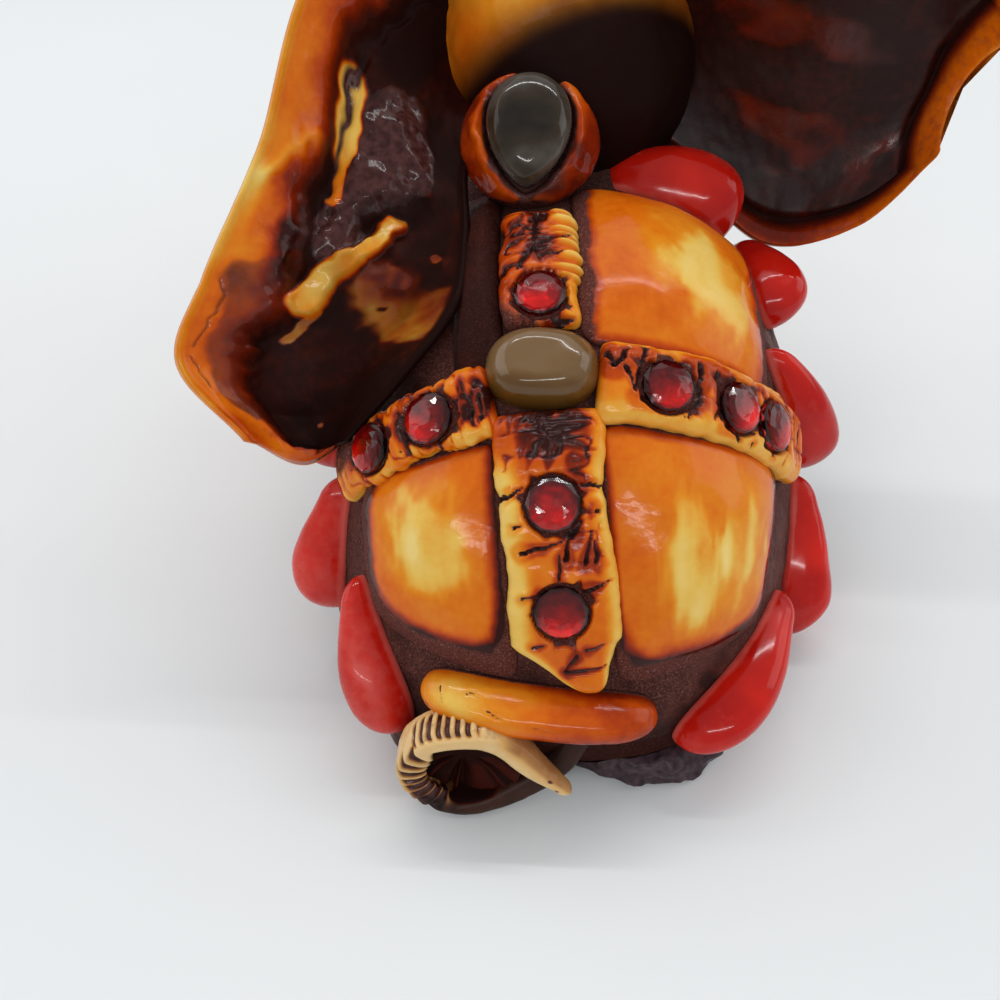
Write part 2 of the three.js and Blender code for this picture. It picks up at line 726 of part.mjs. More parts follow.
function dropGeometry(name, growth) {
  const [narrow, round] = dropRoutes[name];
  const onCollar = name.endsWith('1');
  const blunt = onCollar || name.endsWith('2') || name.endsWith('3');
  const width = onCollar ? collarDropWidth : dropWidth;
  const height = onCollar ? collarDropHeight : dropHeight;
  const swell = blunt ? bluntSwell : dropSwell;
  const drop = strip({
    from: blanketPoint(...narrow),
    to: blanketPoint(...round),
    halfWidthAt: (share) => (width / 2) * swell(share),
    heightAt: (share) => height * swell(share),
    section: roundSection,
    shares: [0, 0.05, 0.14, 0.27, 0.42, 0.58, 0.73, 0.86, 0.95, 1],
    growth,
  });
  return onCollar ? cut(drop, neckCutter, headCutterInPlace, napeCutter) : drop;
}
for (const name of Object.keys(dropRoutes)) {
  addPiece(name, dropGeometry(name, 0), clay.red, 0.15);
}

// Hem roll across the rear edge
const rollSwell = (share) => (1 - Math.abs(2 * share - 1) ** 5 * 0.96) ** 0.5;

function hemRollGeometry(growth) {
  return strip({
    from: blanketPoint(hemRollAlong, hemRollAcross + hemRollLength / 2),
    to: blanketPoint(hemRollAlong + seam, hemRollAcross - hemRollLength / 2),
    halfWidthAt: (share) => (hemRollWidth / 2) * rollSwell(share),
    heightAt: (share) => hemRollHeight * rollSwell(share),
    section: roundSection,
    shares: [0, 0.03, 0.08, 0.18, 0.34, 0.5, 0.66, 0.82, 0.92, 0.97, 1],
    growth,
  });
}
addPiece('hem_roll', hemRollGeometry(0), clay.amber, 0.3);

// Hind feet under the belly, hollowed where the last drops press into them
const dropRoom = (...names) => names.map((name) => dropGeometry(name, glueGap));
const footProfile = [[0, 0], [0.94, 0], [1, 0.16], [0.97, 0.5], [0.9, 0.86], [0.8, 1], [0, 1]];

for (const [side, sign] of [['left', 1], ['right', -1]]) {
  const foot = stump(footProfile, hindFootRadius, bellyHeight - glueGap);
  foot.translate(sign * legSpread, bodyRear - hindFootSetBack, 0);
  const drops = dropRoom(`${side}_drop_4`, `${side}_drop_5`);
  addPiece(`${side}_hind_foot`, cut(foot, ...drops, hemRollGeometry(glueGap)), clay.brown, 0.6);
}

// Ears: hollow flaps swept back from the head, lofted over arcs from the inner edge to the outer rim
function earGeometry(innerEdge, outerEdge, hollowWay) {
  const inner = new THREE.CatmullRomCurve3(innerEdge);
  const outer = new THREE.CatmullRomCurve3(outerEdge);
  const across = 8;
  const rings = evenShares(13).map((share) => {
    const from = inner.getPoint(share);
    const to = outer.getPoint(share);
    const deep = Math.min(earHollow, from.distanceTo(to) * 0.36);
    const faceAt = (step, side) => {
      const w = step / across;
      const bow = Math.sin(Math.PI * w) ** 0.8 * deep;
      const edge = Math.sin(Math.PI * THREE.MathUtils.clamp(w, 0.04, 0.96)) ** 0.35;
      const half = (earThickness / 2) * edge * side;
      return from.clone().lerp(to, w).addScaledVector(hollowWay, bow + half);
    };
    const near = Array.from({ length: across + 1 }, (unused, step) => faceAt(step, -1));
    const far = Array.from({ length: across + 1 }, (unused, step) => faceAt(across - step, 1));
    return [...near, ...far];
  });
  return skin(rings);
}

// Ear points are placed from the head's centre, or out from the body's flank where the left ear lies along it
const fromHead = (out, back, up) => {
  return point(out, back, up).multiplyScalar(earSpan).add(headGroup.position);
};
const besideFlank = (out, back, up) => fromHead(out, back, up).setX(bodyHalfWidth + out * earSpan);
const leftEar = earGeometry(
  [
    fromHead(0.22, 0.22, 0.02), fromHead(0.26, 0.54, -0.08), fromHead(0.24, 0.8, -0.14),
    besideFlank(-0.41, 1.04, -0.2), besideFlank(-0.29, 1.18, -0.32), besideFlank(-0.12, 1.22, -0.54),
  ],
  [
    fromHead(0.26, 0.1, 0.5), fromHead(0.64, 0.42, 0.42), besideFlank(0.12, 0.74, 0.06),
    besideFlank(0.24, 1.02, -0.16), besideFlank(0.3, 1.18, -0.32), besideFlank(0.12, 1.28, -0.5),
  ],
  point(0.1, -0.6, -0.79).normalize(),
);
const rightEar = earGeometry(
  [
    fromHead(-0.2, 0.14, -0.14), fromHead(-0.44, 0.2, -0.32), fromHead(-0.66, 0.3, -0.44),
    fromHead(-0.9, 0.36, -0.33), fromHead(-1.1, 0.35, -0.07),
  ],
  [
    fromHead(-0.22, 0.1, 0.46), fromHead(-0.5, 0.22, 0.58), fromHead(-0.82, 0.26, 0.6),
    fromHead(-1.1, 0.28, 0.5), fromHead(-1.22, 0.3, 0.22),
  ],
  point(0.1, -0.9, -0.2).normalize(),
);
const gemStand = gemGirdle + gemCrown - gemSunk;
const leftStrapRoom = strip({
  ...leftRoute,
  section: bandSection,
  heightAt: () => strapThickness + gemStand,
  growth: glueGap,
});
const earCutters = [headCutterInPlace, bodyCutter, napeCutter];
const leftEarCutters = [leftStrapRoom, ...dropRoom('left_drop_1', 'left_drop_2', 'left_drop_3')];
const rightEarCutters = dropRoom('right_drop_1', 'right_drop_2', 'right_drop_3');
addPiece('left_ear', cut(leftEar, ...earCutters, ...leftEarCutters), clay.amber, 0.3);
addPiece('right_ear', cut(rightEar, ...earCutters, ...rightEarCutters), clay.amber, 0.3);

// Tail: a flattened coil behind the left hind leg, its loop closed by a thin floor
const tailY = bodyRear + tailDepth / 2;
const tailLoopZ = tailLoopRadius + tailThickness / 2 + tailLift;
const loopPoint = (degrees) => point(
  tailLoopX + tailLoopRadius * Math.cos(radians(degrees)),
  tailY,
  tailLoopZ + tailLoopRadius * Math.sin(radians(degrees)),
);
const besideLoop = (outside, back, up) => {
  const corner = point(tailLoopX - tailLoopRadius, bodyRear, tailLoopZ);
  return point(-outside, back, up).multiplyScalar(tailLoopRadius).add(corner);
};
const tailPath = new THREE.CatmullRomCurve3([
  besideLoop(1.03, -0.32, 0.18),
  besideLoop(0.65, 0, -0.34),
  besideLoop(0, 0.26, -0.76),
  ...[-100, -60, -20, 20, 60, 100, 130].map(loopPoint),
  besideLoop(0.26, 0.59, 0.26),
  besideLoop(0.86, 0.69, -0.31),
]);

function tailGeometry() {
  const sides = 10;
  const inwards = point(0, 1, 0);
  const rings = evenShares(26).map((share) => {
    const middle = tailPath.getPointAt(share);
    const outwards = tailPath.getTangentAt(share).cross(inwards).normalize();
    const entering = THREE.MathUtils.smoothstep(share, 0.15, 0.35);
    const inLoop = entering - THREE.MathUtils.smoothstep(share, 0.65, 0.85);
    const halfDepth = THREE.MathUtils.lerp(tailTipDepth, tailDepth, inLoop) / 2;
    const halfThickness = THREE.MathUtils.lerp(tailTipThickness, tailThickness, inLoop) / 2;
    return Array.from({ length: sides }, (unused, side) => {
      const angle = (2 * Math.PI * side) / sides;
      return middle
        .clone()
        .addScaledVector(outwards, halfThickness * Math.cos(angle))
        .addScaledVector(inwards, halfDepth * Math.sin(angle));
    });
  });
  return skin(rings);
}
const tailFloor = new THREE.CylinderGeometry(tailLoopRadius, tailLoopRadius, tailFloorThickness, 28);
tailFloor.translate(tailLoopX, tailY - tailDepth / 2 + tailFloorThickness, tailLoopZ);
const coil = geometryOf(solidOf(tailGeometry()).add(solidOf(tailFloor)));
addPiece('tail', cut(coil, bodyCutter, hemRollGeometry(glueGap)), clay.cream, 0.5);

// The origin is the middle of the footprint, on the floor
const extent = new THREE.Box3().setFromObject(elephant, true);
const middle = extent.getCenter(point(0, 0, 0));
elephant.position.set(-middle.x, -middle.y, -extent.min.z);

export default elephant;
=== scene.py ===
import itertools
import json
import math

import bpy
import numpy as np
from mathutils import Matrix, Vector


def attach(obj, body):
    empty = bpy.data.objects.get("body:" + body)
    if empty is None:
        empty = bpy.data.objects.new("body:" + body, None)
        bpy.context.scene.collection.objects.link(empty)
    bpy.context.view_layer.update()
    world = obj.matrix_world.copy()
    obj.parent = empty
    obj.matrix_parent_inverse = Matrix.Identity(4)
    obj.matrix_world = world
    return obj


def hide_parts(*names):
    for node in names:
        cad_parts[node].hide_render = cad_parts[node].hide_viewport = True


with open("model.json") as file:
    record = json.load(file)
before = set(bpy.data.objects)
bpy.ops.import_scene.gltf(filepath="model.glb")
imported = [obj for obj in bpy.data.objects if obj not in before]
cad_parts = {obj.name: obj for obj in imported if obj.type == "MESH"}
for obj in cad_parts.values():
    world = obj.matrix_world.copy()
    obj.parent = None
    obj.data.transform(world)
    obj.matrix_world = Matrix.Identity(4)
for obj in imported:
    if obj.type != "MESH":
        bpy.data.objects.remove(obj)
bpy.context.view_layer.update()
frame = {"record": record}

# The elephant is laid out in millimetres, facing -Y, with its left at +X and the floor at Z 0
figure = {
    "heart": (0.0, -14.0, 3.0),  # middle of the body dome
    "halfWidth": 36.0,
    "rearReach": 54.0,
    "frontReach": 44.0,
    "rise": 54.0,
    "squareness": 2.5,
    "backTilt": 64.0,  # where the saddle sits, in degrees round the side profile
    "bellyHeight": 6.0,
    "glueGap": 0.3,
    "rearSole": (14.5, 29.5, 0.0),  # the record's mount is this sole
    "paintedShadeFrom": 0.75,  # faces with more painted shade than this get the painted-shade copy of the finish, which reflects less
}
heart = np.array(figure["heart"])
glueGap = figure["glueGap"]
shift = np.array(frame["record"]["mounts"][0]["pos_m"]) * 1000 - np.array(figure["rearSole"])
noiseLook = {"cells": 32, "coarse": 0.65, "fine": 0.35, "fineSize": 0.4, "fineSeed": 50}
lattices = {}


def unit(vectors):
    return vectors / np.linalg.norm(vectors, axis=-1, keepdims=True)


def triples(x, y, z):
    return np.stack(np.broadcast_arrays(x, y, z), -1)


def signedPower(value, power):
    return np.sign(value) * np.abs(value) ** power


def arcLengths(line):
    return np.concatenate([[0], np.cumsum(np.linalg.norm(np.diff(line, axis=0), axis=1))])


def ringAngles(count):
    return 2 * np.pi * np.arange(count) / count


def ease(value, low, high):
    share = np.clip((value - low) / (high - low), 0, 1)
    return share * share * (3 - 2 * share)


def bump(value, middle, width):
    return np.exp(-(((value - middle) / width) ** 2))


# The rounding of an end: 0 at the end itself, 1 from share 1 on
def quarterRound(share, least=0.0):
    return np.sqrt(np.clip(1 - (1 - np.clip(share, 0, 1)) ** 2, least, 1))


# Smooth seeded noise between -1 and 1, its lumps about as large as size
def softNoise(points, size, seed):
    count = noiseLook["cells"]
    if seed not in lattices:
        lattices[seed] = np.random.default_rng(seed).uniform(-1, 1, (count, count, count))
    cells = np.asarray(points, float) / size
    low = np.floor(cells).astype(int)
    part = cells - low
    part = part * part * (3 - 2 * part)
    total = np.zeros(cells.shape[:-1])
    for corner in itertools.product((0, 1), repeat=3):
        weight = np.prod(np.where(corner, part, 1 - part), axis=-1)
        x, y, z = np.moveaxis((low + corner) % count, -1, 0)
        total += weight * lattices[seed][x, y, z]
    return total


def clayNoise(points, size, seed):
    fine = softNoise(points, size * noiseLook["fineSize"], seed + noiseLook["fineSeed"])
    return noiseLook["coarse"] * softNoise(points, size, seed) + noiseLook["fine"] * fine


# The skin of the body: the place that lies out from its heart through each point, lifted by height
def onBody(through, height=0.0):
    out = through - heart
    reach = np.where(out[..., 1] > 0, figure["rearReach"], figure["frontReach"])
    radii = triples(figure["halfWidth"], reach, figure["rise"])
    way = out / radii
    inPlane = np.hypot(way[..., 1], way[..., 2])
    n = figure["squareness"]
    size = (np.abs(way[..., 0]) ** n + inPlane ** n) ** (1 / n)
    way = way / size[..., None]
    slope = (inPlane / size) ** (n - 2)
    side = signedPower(way[..., 0], n - 1)
    normal = unit(triples(side, way[..., 1] * slope, way[..., 2] * slope) / radii)
    return heart + way * radii + normal * np.asarray(height)[..., None], normal


def bodyWay(around, outward):
    inPlane = np.cos(outward)
    return triples(np.sin(outward), inPlane * np.cos(around), inPlane * np.sin(around))


# Distances across the back, measured on the skin, for angles out to the side
sideAngles = np.linspace(0, np.pi / 2, 91)
sideArcs = arcLengths(onBody(heart + bodyWay(np.full_like(sideAngles, np.pi / 2), sideAngles))[0])


def blanketPoint(along, across):
    around = math.radians(figure["backTilt"]) - along / figure["rise"]
    outward = math.copysign(np.interp(abs(across), sideArcs, sideAngles), across)
    return onBody(heart + bodyWay(np.array(around), np.array(outward)))[0]


# Mesh building: rings of equal count become a closed skin, its two ends closed by fans
def skinFaces(ringCount, sides):
    index = np.arange(ringCount * sides).reshape(ringCount, sides)
    following = np.roll(index, -1, axis=1)
    quads = np.stack([index[:-1], following[:-1], following[1:], index[1:]], -1).reshape(-1, 4)
    firstHub = ringCount * sides
    first = triples(firstHub, following[0], index[0])
    last = triples(firstHub + 1, index[-1], following[-1])
    return quads.tolist() + first.tolist() + last.tolist()


def facingOut(points, faces):
    volume = 0.0
    for third in (2, 3):
        corners = np.array([(face[0], face[third - 1], face[third]) for face in faces if len(face) > third])
        if len(corners):
            a, b, c = (points[corners[:, i]] for i in range(3))
            volume += np.sum(a * np.cross(b, c))
    return faces if volume > 0 else [face[::-1] for face in faces]


# Marks paint the skin: stain, plum, grime and shade, each a number or one value for each point
def skin(rings, marks):
    ringCount, sides = rings.shape[:2]
    points = np.concatenate([rings.reshape(-1, 3), rings[[0, -1]].mean(axis=1)])
    onPoints = {}
    for key, values in marks.items():
        values = np.broadcast_to(values, (ringCount, sides))
        onPoints[key] = np.concatenate([values.ravel(), values[[0, -1]].mean(axis=1)])
    return points, facingOut(points, skinFaces(ringCount, sides)), onPoints


def joinSkins(*skins):
    points, faces, marks = [], [], {key: [] for key in skins[0][2]}
    start = 0
    for somePoints, someFaces, someMarks in skins:
        points.append(somePoints)
        faces += [[corner + start for corner in face] for face in someFaces]
        start += len(somePoints)
        for key in marks:
            marks[key].append(someMarks[key])
    return np.concatenate(points), faces, {key: np.concatenate(values) for key, values in marks.items()}


def addPiece(name, look, made, smooth=True):
    points, faces, marks = made
    mesh = bpy.data.meshes.new(name + "_look")
    mesh.from_pydata(((points + shift) / 1000).tolist(), [], faces)
    mesh.polygons.foreach_set("use_smooth", [smooth] * len(faces))
    for key, values in marks.items():
        layer = mesh.attributes.new(key, "FLOAT", "POINT")
        layer.data.foreach_set("value", np.ascontiguousarray(values, dtype=np.float32))
    for finish in look["finishes"]:
        mesh.materials.append(finish)
    if "shade" in marks:
        mesh.materials.append(paintedShadeFinish)
        inPaintedShade = [int(np.mean(marks["shade"][face]) > figure["paintedShadeFrom"]) for face in faces]
        mesh.polygons.foreach_set("material_index", inPaintedShade)
    piece = bpy.data.objects.new(name + "_look", mesh)
    bpy.context.scene.collection.objects.link(piece)
    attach(piece, "root")
    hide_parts(name)
    return piece


# Finishes: sockets are filled from another node's output or with a plain value
def fillSockets(tree, made, sources):
    for socket, source in sources.items():
        if isinstance(source, bpy.types.NodeSocket):
            tree.links.new(source, made.inputs[socket])
        else:
            made.inputs[socket].default_value = source


def addNode(tree, kind, sources=None, **settings):
    made = tree.nodes.new(kind)
    for key, value in settings.items():
        setattr(made, key, value)
    fillSockets(tree, made, sources or {})
    return made


def newFinish(name):
    finish = bpy.data.materials.new(name)
    finish.use_nodes = True
    tree = finish.node_tree
    tree.nodes.clear()
    shader = addNode(tree, "ShaderNodeBsdfPrincipled")
    addNode(tree, "ShaderNodeOutputMaterial", {"Surface": shader.outputs[0]})
    return finish, tree, shader


def speckle(tree, millimetres, detail=3.0, stretch=(1, 1, 1)):
    place = addNode(tree, "ShaderNodeTexCoord").outputs["Object"]
    place = addNode(tree, "ShaderNodeMapping", {"Vector": place, "Scale": stretch}).outputs[0]
    sockets = {"Vector": place, "Scale": 1000 / millimetres, "Detail": detail}
    return addNode(tree, "ShaderNodeTexNoise", sockets).outputs["Fac"]


def painted(tree, name):
    return addNode(tree, "ShaderNodeAttribute", attribute_name=name).outputs["Fac"]


def sums(tree, kind, first, second, third=0.0):
    return addNode(tree, "ShaderNodeMath", {0: first, 1: second, 2: third}, operation=kind).outputs[0]


# A value pushed up and down by a noise that runs from 0 to 1
def stirred(tree, value, noise, share):
    return sums(tree, "MULTIPLY_ADD", sums(tree, "SUBTRACT", noise, 0.5), share, value)


def spread(tree, value, low, high, toLow=0.0, toHigh=1.0):
    sockets = {"Value": value, "From Min": low, "From Max": high, "To Min": toLow, "To Max": toHigh}
    return addNode(tree, "ShaderNodeMapRange", sockets).outputs[0]


def ramp(tree, value, stops):
    made = addNode(tree, "ShaderNodeValToRGB", {"Fac": value})
    elements = made.color_ramp.elements
    while len(elements) < len(stops):
        elements.new(1.0)
    for element, (place, colour) in zip(elements, stops):
        element.position = place
        element.color = (*colour, 1.0)
    return made.outputs["Color"]


def blend(tree, factor, first, second):
    sockets = {0: factor, 6: first, 7: (*second, 1) if isinstance(second, tuple) else second}
    return addNode(tree, "ShaderNodeMix", sockets, data_type="RGBA").outputs[2]


# Lacquered clay: stain picks the tint, plum adds a glossy dark wash, grime matt dust, shade a dull dark
# painted shade
def clayFinish(look):
    finish, tree, shader = newFinish(look["name"])
    blotch = speckle(tree, look["blotch"], 4)
    fine = speckle(tree, look["grain"], 3)
    dust = speckle(tree, look["dustGrain"], 2)
    stain = stirred(tree, painted(tree, "stain"), blotch, look["blotchShare"])
    tint = ramp(tree, stirred(tree, stain, fine, look["grainShare"]), look["stains"])
    wash = spread(tree, stirred(tree, painted(tree, "plum"), blotch, look["washNoise"]), *look["washRange"])
    tint = blend(tree, wash, tint, ramp(tree, fine, look["plums"]))
    dirt = spread(tree, stirred(tree, painted(tree, "grime"), fine, look["dirtNoise"]), *look["dirtRange"])
    tint = blend(tree, dirt, tint, ramp(tree, dust, look["dusts"]))
    shade = painted(tree, "shade")
    rough = spread(tree, dirt, 0, 1, look["gloss"], look["dull"])
    rough = sums(tree, "MAXIMUM", rough, sums(tree, "MULTIPLY", shade, look["shadeDull"]))
    bumps = {"Strength": look["bump"], "Distance": look["bumpDepth"], "Height": fine}
    uneven = addNode(tree, "ShaderNodeBump", bumps).outputs[0]
    gritty = sums(tree, "MULTIPLY", dirt, look["dustBump"])
    bumps = {"Strength": gritty, "Distance": look["bumpDepth"], "Height": dust, "Normal": uneven}
    fillSockets(tree, shader, {
        "Base Color": blend(tree, shade, tint, look["shade"]),
        "Roughness": rough,
        "Normal": addNode(tree, "ShaderNodeBump", bumps).outputs[0],
        "Specular IOR Level": look["specular"],
    })
    return finish


# Lumps and grains are in mm, the tints run from light to dark
stainedClay = {
    "name": "stained clay",
    "slot": "stained_clay",
    "blotch": 7.0,
    "blotchShare": 0.16,
    "grain": 1.1,
    "grainShare": 0.12,
    "dustGrain": 0.28,
    "washNoise": 0.5,
    "washRange": (0.3, 0.7),
    "dirtNoise": 0.6,
    "dirtRange": (0.35, 0.75),
    "gloss": 0.13,
    "dull": 0.85,
    "shadeDull": 0.6,
    "bump": 0.14,
    "bumpDepth": 0.0003,
    "dustBump": 0.4,
    "shade": (0.012, 0.003, 0.002),
    "specular": 0.2,
    "stains": [
        (0.0, (0.86, 0.62, 0.20)),
        (0.2, (0.82, 0.50, 0.09)),
        (0.4, (0.78, 0.27, 0.015)),
        (0.58, (0.70, 0.140, 0.004)),
        (0.72, (0.50, 0.058, 0.002)),
        (0.84, (0.26, 0.019, 0.002)),
        (1.0, (0.03, 0.004, 0.002)),
    ],
    "plums": [(0.3, (0.034, 0.009, 0.008)), (0.7, (0.095, 0.034, 0.030))],
    "dusts": [(0.3, (0.060, 0.013, 0.010)), (0.6, (0.13, 0.036, 0.026)), (0.85, (0.32, 0.18, 0.155))],
}
ivoryClay = {
    **stainedClay,
    "name": "ivory clay",
    "slot": "ivory_clay",
    "blotchShare": 0.2,
    "stains": [
        (0.0, (0.80, 0.58, 0.29)),
        (0.35, (0.68, 0.38, 0.12)),
        (0.6, (0.36, 0.15, 0.05)),
        (0.8, (0.13, 0.04, 0.018)),
        (1.0, (0.018, 0.007, 0.006)),
    ],
}
darkClay = {
    **stainedClay,
    "name": "dark clay",
    "slot": "dark_clay",
    "gloss": 0.32,
    "bump": 0.3,
    "plums": [(0.3, (0.018, 0.010, 0.013)), (0.7, (0.085, 0.052, 0.062))],
    "stains": [(0.0, (0.17, 0.05, 0.03)), (0.5, (0.085, 0.022, 0.015)), (1.0, (0.02, 0.008, 0.008))],
    "dusts": [(0.35, (0.040, 0.010, 0.008)), (0.6, (0.105, 0.032, 0.024)), (0.82, (0.24, 0.12, 0.10))],
}
# a copy of the clay that reflects less, for faces in painted shade
paintedShadeClay = {**stainedClay, "name": "hollow clay", "specular": 0.06}
for clay in (stainedClay, ivoryClay, darkClay):
    clay["finishes"] = [clayFinish(clay)]
paintedShadeFinish = clayFinish(paintedShadeClay)

redEnamel = {
    "slot": "red_enamel",
    "cloud": 9.0,
    "grain": 1.6,
    "ripple": 2.5,
    "reds": [(0.35, (0.46, 0.006, 0.003)), (0.68, (0.68, 0.016, 0.006))],
    "film": (0.72, 0.11, 0.085),  # pale bloom, where grime is painted
    "filmNoise": 0.45,
    "filmRange": (0.3, 0.95),
    "gloss": 0.13,
    "dull": 0.6,
}


def enamelFinish(look):
    finish, tree, shader = newFinish("red enamel")
    red = ramp(tree, speckle(tree, look["cloud"], 3), look["reds"])
    fine = speckle(tree, look["grain"], 3)
    film = spread(tree, stirred(tree, painted(tree, "grime"), fine, look["filmNoise"]), *look["filmRange"])
    bumps = {"Strength": 0.06, "Distance": 0.0004, "Height": speckle(tree, look["ripple"], 2)}
    fillSockets(tree, shader, {
        "Base Color": blend(tree, film, red, look["film"]),
        "Roughness": spread(tree, film, 0, 1, look["gloss"], look["dull"]),
        "Normal": addNode(tree, "ShaderNodeBump", bumps).outputs[0],
        "Specular IOR Level": 0.24,
        "Coat Weight": 0.12,
        "Coat Roughness": 0.05,
    })
    return finish


redEnamel["finishes"] = [enamelFinish(redEnamel)]

agate = {
    "name": "olive agate",
    "slot": "agate_stone",
    "tints": [(0.1, (0.18, 0.102, 0.042)), (0.5, (0.14, 0.068, 0.016)), (0.9, (0.105, 0.044, 0.007))],
    "cloud": 5.0,
    "stretch": (1, 1, 2),
    "gloss": 0.12,
    "coat": 0.4,
}
smoky = {
    "name": "smoky droplet",
    "slot": "smoky_stone",
    "tints": [(0.1, (0.012, 0.008, 0.005)), (0.45, (0.034, 0.022, 0.012)), (0.8, (0.085, 0.072, 0.06))],
    "cloud": 4.0,
    "stretch": (1, 2, 1),
    "gloss": 0.08,
    "coat": 0.15,
}
darkBead = {
    "name": "dark bead",
    "slot": "dark_bead",
    "tints": [(0.2, (0.03, 0.012, 0.008)), (0.8, (0.008, 0.004, 0.003))],
    "cloud": 2.0,
    "stretch": (1, 1, 1),
    "gloss": 0.06,
    "coat": 0.4,
}


def stoneFinish(look):
    finish, tree, shader = newFinish(look["name"])
    cloud = speckle(tree, look["cloud"], 4, look["stretch"])
    scuffs = speckle(tree, 1.5, 2)
    fillSockets(tree, shader, {
        "Base Color": ramp(tree, stirred(tree, painted(tree, "stain"), cloud, 0.7), look["tints"]),
        "Roughness": spread(tree, scuffs, 0.3, 0.8, look["gloss"], look["gloss"] + 0.08),
        "Coat Weight": look["coat"],
        "Coat Roughness": 0.04,
        "Specular IOR Level": 0.25,
    })
    return finish


for stone in (agate, smoky, darkBead):
    stone["finishes"] = [stoneFinish(stone)]

redGlass = {
    "slot": "red_glass",
    "glass": [(0.3, (0.72, 0.03, 0.04)), (0.7, (0.92, 0.09, 0.08))],
    # the foil tints run from dark to the bright red of its painted glow
    "foil": [(0.1, (0.15, 0.008, 0.012)), (0.5, (0.5, 0.012, 0.012)), (0.85, (1.0, 0.05, 0.02))],
}


def glassFinish(look):
    finish, tree, shader = newFinish("red glass")
    fillSockets(tree, shader, {
        "Base Color": ramp(tree, speckle(tree, 3.0, 2), look["glass"]),
        "Roughness": spread(tree, speckle(tree, 0.9, 3), 0.4, 0.75, 0.03, 0.2),
        "Transmission Weight": 1.0,
        "IOR": 1.5,
        "Specular IOR Level": 0.14,
    })
    return finish


def foilFinish(look):
    finish, tree, shader = newFinish("red foil")
    mottled = stirred(tree, painted(tree, "stain"), speckle(tree, 1.2, 2), 0.7)
    fillSockets(tree, shader, {
        "Base Color": ramp(tree, mottled, look["foil"]),
        "Metallic": 0.6,
        "Roughness": 0.35,
    })
    return finish


redGlass["finishes"] = [glassFinish(redGlass), foilFinish(redGlass)]
print("finishes mixed")

# Body with its neck: the dark clay that shows in the grooves
bodyLook = {
    "rows": 150,
    "columns": 260,
    "lumps": 0.35,
    "neckAt": (1.5, -40.0, 45.0),
    "neckHalf": (19.0, 15.0, 14.0),
    "neckRows": 60,
    "neckColumns": 90,
}


def ball(rows, columns):
    outward = np.pi * (np.arange(1, rows) / rows - 0.5)
    around = ringAngles(columns)
    return bodyWay(np.broadcast_to(around, (rows - 1, columns)), outward[:, None] * np.ones(columns))


def buildBody(look):
    rings, normal = onBody(heart + ball(look["rows"], look["columns"]))
    rings = rings + normal * (look["lumps"] * clayNoise(rings, 3.0, 3))[..., None]
    rings[..., 2] = np.maximum(rings[..., 2], figure["bellyHeight"])
    # low on the rear, under the hem, the body is darkened as painted shade; shade also darkens it in random
    # patches, and the stain follows the shade
    under = (1 - ease(rings[..., 2], 9.0, 17.0)) * ease(rings[..., 1], 18.0, 26.0)
    shade = np.maximum(0.8 * ease(clayNoise(rings, 5.0, 8), 0.1, 0.7), 0.76 * under)
    stain = np.maximum(0.45 + 0.35 * clayNoise(rings, 9.0, 4), ease(shade, 0.4, 0.7))
    grime = 0.7 + 0.3 * clayNoise(rings, 6.0, 5)
    dome = skin(rings, {"stain": stain, "plum": 0.0, "grime": grime, "shade": shade})
    out = ball(look["neckRows"], look["neckColumns"])
    neck = np.array(look["neckAt"]) + out * np.array(look["neckHalf"])
    neck = neck + out * (look["lumps"] * clayNoise(neck, 3.0, 6))[..., None]
    stain = 0.6 + 0.3 * clayNoise(neck, 8.0, 7)
    hump = skin(neck, {"stain": stain, "plum": 0.0, "grime": 0.6 + 0.2 * stain, "shade": 0.7 * stain})
    addPiece("body", darkClay, joinSkins(dome, hump))


buildBody(bodyLook)
print("body modelled")


# A strip laid on the body: t runs along it from its start and c across it, both in millimetres
class Strip:
    def __init__(self, start, end):
        self.start, self.end = start, end
        self.heading = unit(end - start)
        self.shares = np.linspace(0, 1, 401)
        self.travelled = arcLengths(onBody(start + (end - start) * self.shares[:, None])[0])
        self.length = self.travelled[-1]

    def middle(self, t):
        # past both ends it runs on at the pace of its last steps
        step = self.shares[1]
        share = np.interp(t, self.travelled, self.shares)
        share = share + np.minimum(t, 0) * step / self.travelled[1]
        share = share + np.maximum(t - self.length, 0) * step / (self.length - self.travelled[-2])
        place, normal = onBody(self.start + (self.end - self.start) * share[..., None])
        return place, unit(np.cross(self.heading, normal))

    def place(self, t, c, height):
        place, side = self.middle(t)
        return onBody(place + side * c[..., None], height)[0]

    def find(self, point):
        t = np.linspace(0, self.length, 400)
        place, side = self.middle(t)
        nearest = np.argmin(np.linalg.norm(place - point, axis=1))
        return t[nearest], float(np.dot(point - place[nearest], side[nearest]))


# A band section from one lower edge over the top to the other, evenly stepped, with outward slopes
def bandSection(count, half, thickness, squareness):
    def outline(angle):
        return signedPower(np.cos(angle), 2 / squareness), np.abs(np.sin(angle)) ** (2 / squareness)

    angle = np.linspace(0, np.pi, 600)
    arcs = arcLengths(np.stack(outline(angle), -1) * np.array([half, thickness]))
    x, y = outline(np.interp(np.linspace(0, arcs[-1], count), arcs, angle))
    slope = np.stack([signedPower(x, squareness - 1) / half, y ** (squareness - 1) / thickness], -1)
    return x, y, unit(slope)


# The flat underside of a strip: places across it from its last edge back to its first
def underside(c):
    return np.linspace(c[:, -1], c[:, 0], 7)[1:-1].T


